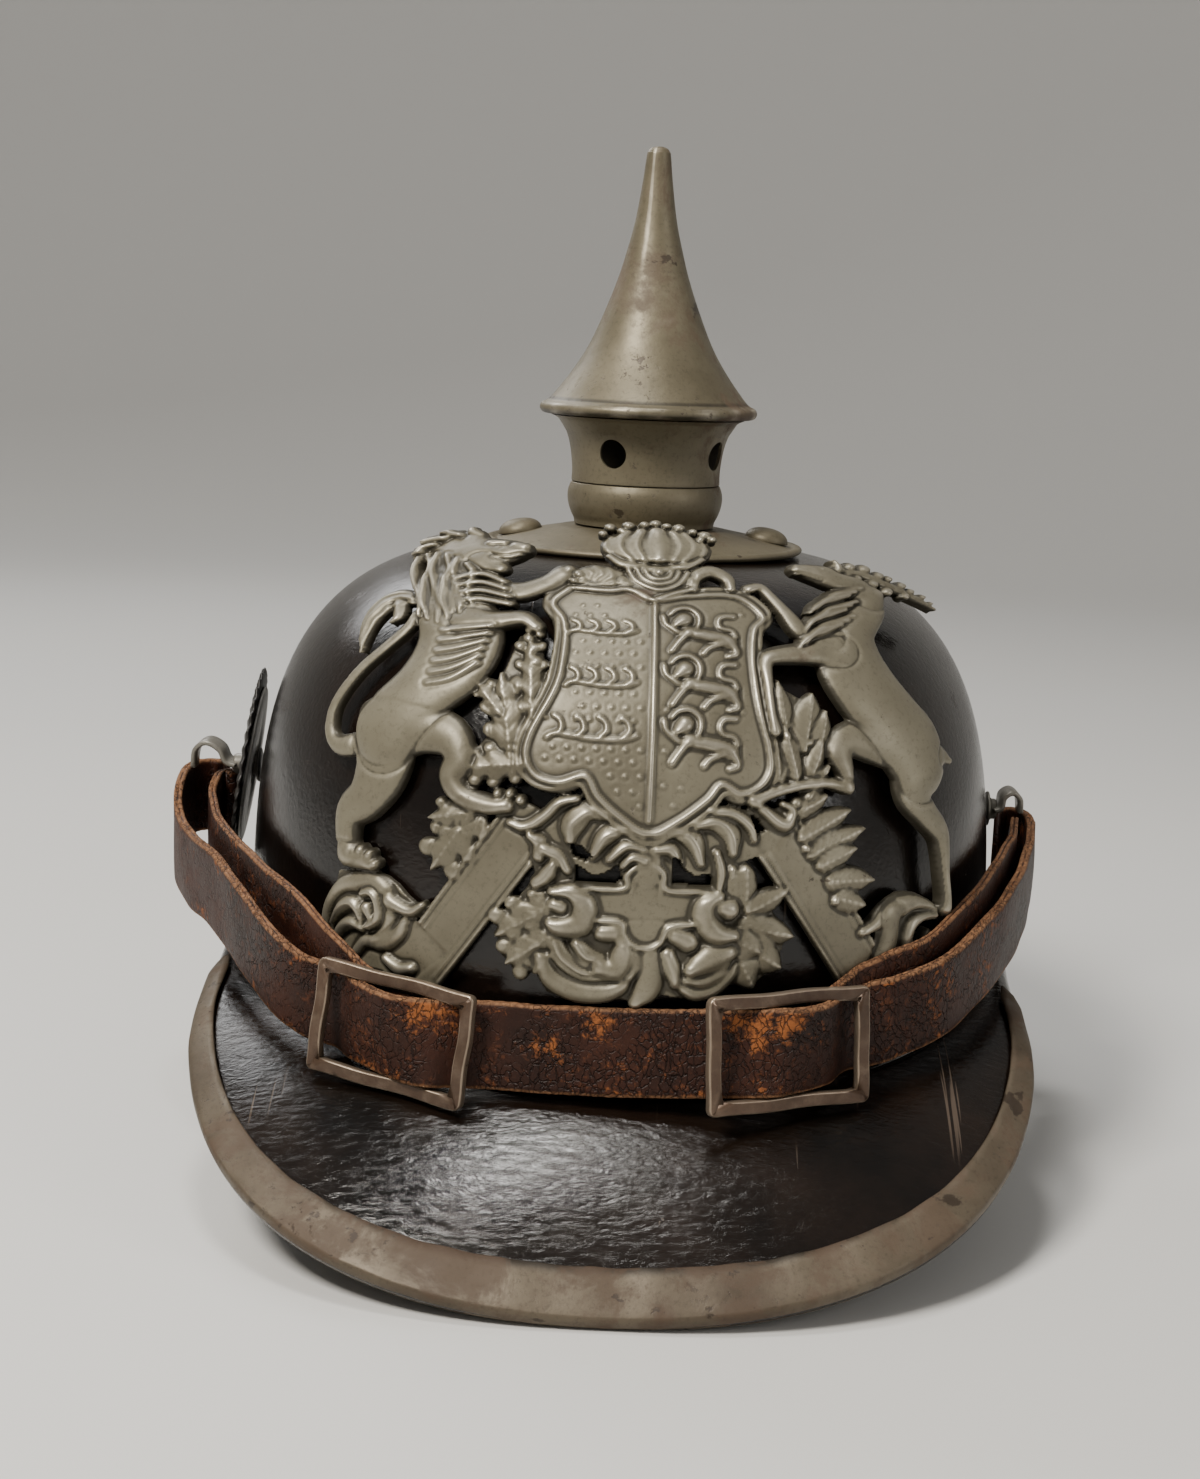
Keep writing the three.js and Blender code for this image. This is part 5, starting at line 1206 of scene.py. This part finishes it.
mesh = bmesh.new()
bmesh.ops.create_grid(mesh, x_segments=len(across) - 1, y_segments=len(aloft_rows) - 1, size=1)
mesh.verts.ensure_lookup_table()
where = np.array([vert.co[:2] for vert in mesh.verts])
col = np.round((where[:, 0] + 1) / 2 * (len(across) - 1)).astype(int)
line = np.round((where[:, 1] + 1) / 2 * (len(aloft_rows) - 1)).astype(int)
kept = on_sheet[line, col]
spots = on_plate(out_u[line, col], out_v[line, col], soft_face[line, col])
ridge_layer = mesh.verts.layers.float.new("ridge")
hollow_layer = mesh.verts.layers.float.new("hollow")
# ridge: raised parts, rubbed to metal and given a painted highlight; hollow: recesses, given
# painted shade with grime
near_edge = soft_face - levelled(soft_face, 1.6)
ridge_value = np.clip(standing / 1.5 + near_edge * 2.2, 0, 1)[line, col]
hollow_value = np.clip(-standing / 0.9 - near_edge * 2.6, 0, 1)[line, col]
for number, vert in enumerate(mesh.verts):
    vert.co = spots[number]
    vert[ridge_layer] = ridge_value[number]
    vert[hollow_layer] = hollow_value[number]
spare = [face for face in mesh.faces if not any(kept[vert.index] for vert in face.verts)]
bmesh.ops.delete(mesh, geom=spare, context="FACES")
rim = [edge for edge in mesh.edges if edge.is_boundary]
turned_in = bmesh.ops.extrude_edge_only(mesh, edges=rim)["geom"]
skin = [v for v in turned_in if isinstance(v, bmesh.types.BMVert)]
inner_spot = Vector((SKULL_X, SKULL_Y + 12, 70))  # the sheet gets its thickness towards this
for vert in skin:
    inward = (inner_spot - vert.co).normalized()
    vert.co += inward * SHEET
    # the sheet's turned-in edge gets the full painted shade and grime
    vert[hollow_layer] = 1.0
bmesh.ops.recalc_face_normals(mesh, faces=mesh.faces)
plate_grey = field_grey("plate_grey", (0.205, 0.186, 0.133), (0.105, 0.092, 0.062),
                        (0.50, 0.46, 0.37), wear=0.3, stain=0.3, relief=True, rough=0.36)
finished("stamped_plate", mesh, plate_grey, replaces=["helmet_plate"])

# ---- chin strap ----------------------------------------------------------------------
# Two layers of brown hide sewn into one band, worn over the visor and hooked to a post on
# either side. It is cracked where it bends and its cut edges have gone tan.

WIDTH, THICK, GROOVE = 18.6, 2.1, 0.5           # the groove runs between the two layers
strap_low, strap_high = (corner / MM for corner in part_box("strap_outer"))
SIDE_LEAN, FRONT_LEAN = radians(12), radians(-6)


def strap_hide(name):
    """Dark hide, orange where the value worn is high and tan fibre where cut is."""
    mat, shader, place = new_material(name)
    worn = place.painted("worn")
    cut = place.painted("cut")
    cloud = place.noise(45, 5, 0.6)
    fleck = place.noise(460, 5, 0.7)
    patch = place.noise(85, 7, 0.68, 0.5)
    hide = cloud.ramp((0.3, (0.0085, 0.0032, 0.002)), (0.72, (0.040, 0.0112, 0.0048)))
    flakes = (fleck * 0.7 + patch * 0.3).step(0.52, 0.62)
    colour = hide.blend(flakes * 0.55, (0.105, 0.033, 0.012))
    rubbed = (patch * 0.75 + worn * 0.24 + fleck * 0.6).step(0.8, 0.95)
    colour = colour.blend(rubbed * 0.85, (0.29, 0.095, 0.026))
    pale = (cut * 0.9 + patch * 0.35 - 0.3).step(0.3, 0.75)
    fibre = place.noise(900, 4, 0.6)
    colour = colour.blend(pale, fibre.ramp((0.3, (0.075, 0.032, 0.015)),
                                           (0.7, (0.25, 0.125, 0.06))))
    jog = place.node("ShaderNodeTexNoise", None,
                     {"Vector": place, "Scale": 300.0, "Detail": 3.0}, 1)
    warped = place.node("ShaderNodeVectorMath", {"operation": "MULTIPLY_ADD"},
                        {0: jog, 1: (0.004, 0.004, 0.004), 2: place})
    crack = warped.scaled(1, 1, 0.6).cells(620, "DISTANCE_TO_EDGE").step(0, 0.12, to_low=1,
                                                                         to_high=0)
    crack = crack * patch.step(0.38, 0.56)
    colour = colour.blend(crack * 0.7, (0.006, 0.003, 0.002))
    rough = cloud * 0.2 + fleck * 0.2 + 0.3 + rubbed * 0.2 + pale * 0.2
    bump = patch.bumped(0.5, 0.0007)
    bump = (fleck - crack * 1.1).bumped(0.75, 0.00034, bump)
    bump = fibre.bumped(0.2, 0.00008, bump)
    wire(shader, colour=colour, rough=rough, normal=bump)
    shader.inputs["Specular IOR Level"].default_value = 0.24
    return mat


strap_leather = strap_hide("strap_leather")


def strap_band(rows, stations, flexed=(), width=WIDTH, thick=THICK):
    """A band of doubled hide through rows of (x, y, z), standing on its edge."""
    half, t = width / 2, thick / 2
    edge = [(half - 0.25, -t), (half, -t + 0.3), (half + 0.05, -0.25), (half - GROOVE, 0),
            (half + 0.05, 0.25), (half, t - 0.3), (half - 0.25, t)]
    face = [(half * k / 4, t + 0.12 * (1 - (k / 4) ** 2)) for k in (3.4, 2, 0, -2, -3.4)]
    profile = edge + face + [(-a, -b) for a, b in edge] + [(-a, -b) for a, b in face]
    line = curved(rows, 12) + np.array((AXIS_X, AXIS_Y, 0))
    reach = np.concatenate([[0], np.cumsum(np.linalg.norm(np.diff(line, axis=0), axis=1))])

    def at(share):
        """The middle of the band at a share of its length."""
        here = np.clip(share, 0, 1) * reach[-1]
        return Vector([np.interp(here, reach, line[:, k]) for k in range(3)])

    def stand(a, b, share):
        """The band's point a up and b out from its line, share of its length along it."""
        step = 1.2 / reach[-1]
        along = (at(share + step) - at(share - step)).normalized()
        up = (Vector((0, 0, 1)) - along * along.z).normalized()
        out = along.cross(up)
        facing = max(-out.y, 0)
        lean = SIDE_LEAN + (FRONT_LEAN - SIDE_LEAN) * facing ** 10
        lean = Matrix.Rotation(lean * facing ** 2, 3, along)
        up, out = lean @ up, lean @ out
        length = share * reach[-1]
        # the cut edges waver, and the band cups and ripples a little along its length
        wave = 0.1 * sin(length * 0.11) + 0.05 * sin(length * 0.43 + 1) + 0.05 * sin(length * 2.3)
        if abs(a) > half - 1:
            a += wave * (1 if a > 0 else 0.7)
        cup = 0.25 * (a / half) ** 2 * sin(length * 0.12)
        spot = at(share) + up * a + out * (b + cup + 0.1 * sin(length * 0.3 + a * 0.2))
        spot.x = min(max(spot.x, strap_low.x), strap_high.x)
        return spot

    mesh = ribbon_mesh(profile, stations, stand)
    worn = mesh.verts.layers.float.new("worn")
    cut = mesh.verts.layers.float.new("cut")
    spots = [stand(0, 0, k / 60) for k in range(61)]
    for vert in mesh.verts:
        nearest_spot = min(spots, key=lambda spot: (spot - vert.co).length)
        rise = (vert.co - nearest_spot).length * (1 if vert.co.z > nearest_spot.z else -1)
        vert[cut] = 1.0 if abs(rise) > half - 0.35 else max(0, abs(rise) / half - 0.86) * 2
        rubbed_here = [exp(-((vert.co - Vector(spot)).length / size) ** 2) * much
                       for spot, size, much in flexed]
        vert[worn] = max(rubbed_here + [0.45 * max(0, abs(rise) / half - 0.75) * 4])
    return mesh


OUTER = [(-104.6, 7.4, 70.6), (-108.4, 10.4, 70.6), (-112.4, 6, 70.6), (-113.4, -4, 69),
         (-112.2, -16, 62.8), (-105.8, -31, 60.2), (-97.6, -46.8, 59.6), (-87.4, -67.8, 55.6),
         (-78, -82.4, 51), (-70.6, -89.6, 47.8), (-61.7, -94.4, 46.2), (-57, -101.8, 45.8),
         (-49.6, -108.6, 45), (-40.8, -111.4, 44.6), (-30.3, -110, 44.3), (-15, -112.2, 44.4),
         (0, -113.4, 44.8), (15.5, -113.9, 45.6), (25.4, -114.3, 46.2), (34.3, -113.8, 46.6),
         (42.6, -108, 46.9), (47.4, -98.6, 47.2), (58.4, -93.8, 49.6), (70, -86, 52.8),
         (81.8, -67.4, 57.4), (90.6, -46, 62), (97, -24, 64.6), (100, -6, 66.6),
         (99.4, 4.4, 67.2), (96.4, 8, 67.2), (93.6, 5.6, 67.2)]
# where the band is rubbed bright: the middle of the place, its size and how much
rubs = [((-33.5, -104, 53), 7, 1.0), ((-40, -102, 51), 5, 0.7), ((40, -107, 55), 7, 1.0),
        ((35, -106, 52), 6, 0.9), ((2, -108, 50), 6, 0.7), ((-9, -108, 46), 6, 0.55),
        ((-20, -107, 52), 7, 0.6), ((36, -107, 38), 7, 0.7), ((-108, -2, 70), 10, 0.6),
        ((104, 6, 74), 10, 0.6), ((-100, -30, 66), 5, 0.6), ((75, -76, 60), 9, 0.5)]
finished("strap_band", strap_band(OUTER, 420, rubs), strap_leather, replaces=["strap_outer"])

INNER = {
    "left": [(-103.4, -0.4, 70.2), (-101.6, 0.6, 70.2), (-101.4, 2.6, 70.2), (-103.2, 3.4, 70),
             (-104.8, 1.4, 69.8), (-104.8, -4, 69.6), (-103.8, -16, 67.4), (-99.2, -33, 65.6),
             (-90.6, -52.2, 64.2), (-81.8, -68.6, 62), (-72.4, -82.5, 59.6),
             (-66, -90.3, 55.4), (-59, -96, 50.4), (-52, -101.6, 47.6), (-46, -105.4, 46.8),
             (-41.4, -106.9, 46.2)],
    "right": [(38.4, -106.8, 48.4), (43, -103.2, 49.2), (49, -96.4, 51.6), (55.9, -92.4, 54.4),
              (66.2, -85.3, 57.4), (77.6, -66.8, 63), (85.8, -47.4, 66.4), (92.2, -26, 67.6),
              (95.4, -8, 68.2)],
}
for side, rows in INNER.items():
    finished(f"strap_lining_{side}", strap_band(rows, 200, width=17.6, thick=1.9), strap_leather,
             replaces=[f"strap_inner_{side}"])

# ---- strap buckles -------------------------------------------------------------------
# Plain rectangular frames of flat steel, bent and welded without a tongue; the strap is
# threaded through them. They are browned with rust and rubbed bright on their edges, which
# also carry a painted highlight.

# each buckle's middle, width, height, turn about Z and roll in its own plane
BUCKLES = {
    "left": ((-49.2, -106.7, 45), 38.4, 24.8, -26, 4),
    "right": ((34.5, -111.7, 46.4), 38.4, 25, 26, 0.5),
}
BAR, FLAT, TILT = 2.9, 2.2, 6
buckle_steel = field_grey("buckle_steel", (0.088, 0.052, 0.032), (0.040, 0.022, 0.013),
                          (0.46, 0.37, 0.28), wear=0.6, stain=1.0, relief=True, rough=0.32)
for side, (at, wide, tall, turn, roll) in BUCKLES.items():
    mesh = bmesh.new()
    bmesh.ops.create_cube(mesh, size=1)
    bmesh.ops.scale(mesh, vec=(wide, FLAT, tall), verts=mesh.verts)
    corners = [e for e in mesh.edges if abs(e.verts[0].co.y - e.verts[1].co.y) > 0.1]
    bmesh.ops.bevel(mesh, geom=corners, offset=1.6, affect="EDGES", segments=4, profile=0.5,
                    material=-1)
    for face in [f for f in mesh.faces if abs(f.normal.y) > 0.9]:
        bmesh.ops.inset_region(mesh, faces=[face], thickness=BAR, use_even_offset=True)
    middle = [f for f in mesh.faces if abs(f.normal.y) > 0.9
              and f.calc_center_median().xz.length < 0.1]
    bmesh.ops.delete(mesh, geom=middle, context="FACES_ONLY")
    bmesh.ops.bridge_loops(mesh, edges=[e for e in mesh.edges if e.is_boundary])
    sharp = [e for e in mesh.edges if e.calc_face_angle(0) > 0.9]
    bmesh.ops.bevel(mesh, geom=sharp, offset=0.45, affect="EDGES", segments=3, profile=0.5,
                    material=-1)
    long_edges = [e for e in mesh.edges if e.calc_length() > 5]
    bmesh.ops.subdivide_edges(mesh, edges=long_edges, cuts=12, use_grid_fill=True)
    rubbed_and_lit_edge = mesh.verts.layers.float.new("ridge")
    for vert in mesh.verts:
        x, y, z = vert.co
        # edges and sides of the bars: rubbed bright, with a painted highlight
        vert[rubbed_and_lit_edge] = 0.85 if abs(y) < FLAT / 2 - 0.05 else 0.3
        # each bar is a little out of true
        vert.co += Vector((0.12 * sin(z * 0.5), 0.25 * sin(x * 0.13 + 1) + 0.1 * sin(z * 0.4),
                           0.16 * sin(x * 0.31)))
    bmesh.ops.recalc_face_normals(mesh, faces=mesh.faces)
    seat = Matrix.Translation((at[0] + AXIS_X, at[1] + AXIS_Y, at[2]))
    for angle, axis in ((turn, "Z"), (roll, "Y"), (-TILT, "X")):
        seat = seat @ Matrix.Rotation(radians(angle), 4, axis)
    bmesh.ops.transform(mesh, matrix=seat, verts=mesh.verts)
    finished(f"buckle_frame_{side}", mesh, buckle_steel, replaces=[f"buckle_{side}"])

# ---- side posts ----------------------------------------------------------------------
# A turned steel post stands out of each side of the skull, screwed through the leather,
# and ends in a hook bent from flat steel that holds the strap.

# which way each post stands out, where it starts, its height, and its hook's line in (x, z)
POSTS = {
    "left": (-1, -94.5, 81, [(-100.6, 81), (-103, 82), (-104.6, 85), (-108, 86.6),
                             (-110.8, 84.6), (-111.4, 80)]),
    "right": (1, 89.5, 77.4, [(91.4, 77.4), (93, 78.4), (93.6, 81), (95.6, 82.2), (97.6, 80.6),
                              (98, 77)]),
}
post_steel = field_grey("post_steel", (0.26, 0.25, 0.22), (0.12, 0.11, 0.09),
                        (0.5, 0.49, 0.45), wear=0.7, stain=0.5, rough=0.32)
for side, (out, seat, z, hook) in POSTS.items():
    path = curved([(x, height, 4.5) for x, height in hook], 8)

    def hook_place(a, b, t, path=path):
        """The hook's point a across and b off its line, t along it."""
        here = t * (len(path) - 1)
        spot = np.array([np.interp(here, range(len(path)), path[:, k]) for k in (0, 1)])
        ahead = np.array([np.interp(min(here + 0.5, len(path) - 1), range(len(path)),
                                    path[:, k]) for k in (0, 1)])
        behind = np.array([np.interp(max(here - 0.5, 0), range(len(path)), path[:, k])
                           for k in (0, 1)])
        dx, dz = (ahead - behind) / np.hypot(*(ahead - behind))
        narrowed = a * (1 - 0.35 * t ** 4)
        return Vector((spot[0] - dz * b + AXIS_X, narrowed + AXIS_Y, spot[1] + dx * b))

    plate_section = [(-4.4, -0.35), (-4.1, -0.6), (4.1, -0.6), (4.4, -0.35), (4.4, 0.35),
                     (4.1, 0.6), (-4.1, 0.6), (-4.4, 0.35)]
    mesh = ribbon_mesh(plate_section, 60, hook_place)
    length = abs(hook[0][0] - seat) + 1
    shaft = turned([(0.05, 0), (4.2, 0), (4.4, 0.25), (4.3, 0.6), (3.0, 0.9), (2.6, 1.4),
                    (2.6, length - 0.8), (2.3, length - 0.3), (0.05, length - 0.2)], 40)
    outward = Matrix.Rotation(out * pi / 2, 4, "Y")
    outward = Matrix.Translation((seat + AXIS_X, AXIS_Y, z)) @ outward
    bmesh.ops.transform(shaft, matrix=outward, verts=shaft.verts)
    held = bpy.data.meshes.new("shaft")
    shaft.to_mesh(held)
    mesh.from_mesh(held)
    bpy.data.meshes.remove(held)
    bmesh.ops.recalc_face_normals(mesh, faces=mesh.faces)
    finished(f"post_{side}", mesh, post_steel, replaces=[f"side_post_{side}"])

# ---- cockade -------------------------------------------------------------------------
# A domed disc stamped from thin sheet with a toothed, fluted rim, painted black, and held
# to the helmet's left side by the post through its middle.

rosette_seat = Matrix.Translation((AXIS_X - 97.4, AXIS_Y, 81))
for angle, axis in ((4, "Z"), (-82, "Y")):
    rosette_seat = rosette_seat @ Matrix.Rotation(radians(angle), 4, axis)
black_paint = field_grey("black_paint", (0.03, 0.028, 0.026), (0.014, 0.013, 0.012),
                         (0.2, 0.18, 0.15), wear=0.2, stain=0.4, rough=0.34)
TEETH, FLUTE_R = 36, 18                         # the flutes of the rim start at this radius
mesh = turned([(3.2, 1.5), (3.2, 0.6), (8, 0.5), (16, 0.1), (20.5, -0.2), (24.6, -0.2),
               (24.9, 0.1), (24.6, 0.5), (22.6, 0.7), (21.6, 1.0), (19.6, 0.8), (14, 1.25),
               (8, 1.45), (3.2, 1.5)], TEETH * 8)
for vert in mesh.verts:
    radius = hypot(vert.co.x, vert.co.y)
    if radius > FLUTE_R:
        wave = cos(TEETH * atan2(vert.co.y, vert.co.x))
        much = min((radius - FLUTE_R) / 4, 1)
        grow = 1 + (0.45 * wave - 0.5) * much / radius
        vert.co = (vert.co.x * grow, vert.co.y * grow, vert.co.z + 0.16 * wave * much)
bmesh.ops.transform(mesh, matrix=rosette_seat, verts=mesh.verts)
finished("rosette", mesh, black_paint, replaces=["cockade"])

# ---- cockade's ring ------------------------------------------------------------------
# A flat steel washer painted a pale grey-white, clamped behind the black disc on the same
# post; only its edge shows.

pale_paint = field_grey("pale_paint", (0.46, 0.45, 0.42), (0.33, 0.32, 0.29),
                        (0.4, 0.38, 0.34), wear=0.3, stain=0.5, rough=0.4)
mesh = turned([(5.2, -0.4), (19.6, -0.4), (20, -0.6), (20, -1.0), (19.6, -1.2), (5.2, -1.2),
               (5.2, -0.4)], 120)
bmesh.ops.transform(mesh, matrix=rosette_seat, verts=mesh.verts)
finished("rosette_ring", mesh, pale_paint, replaces=["cockade_ring"])
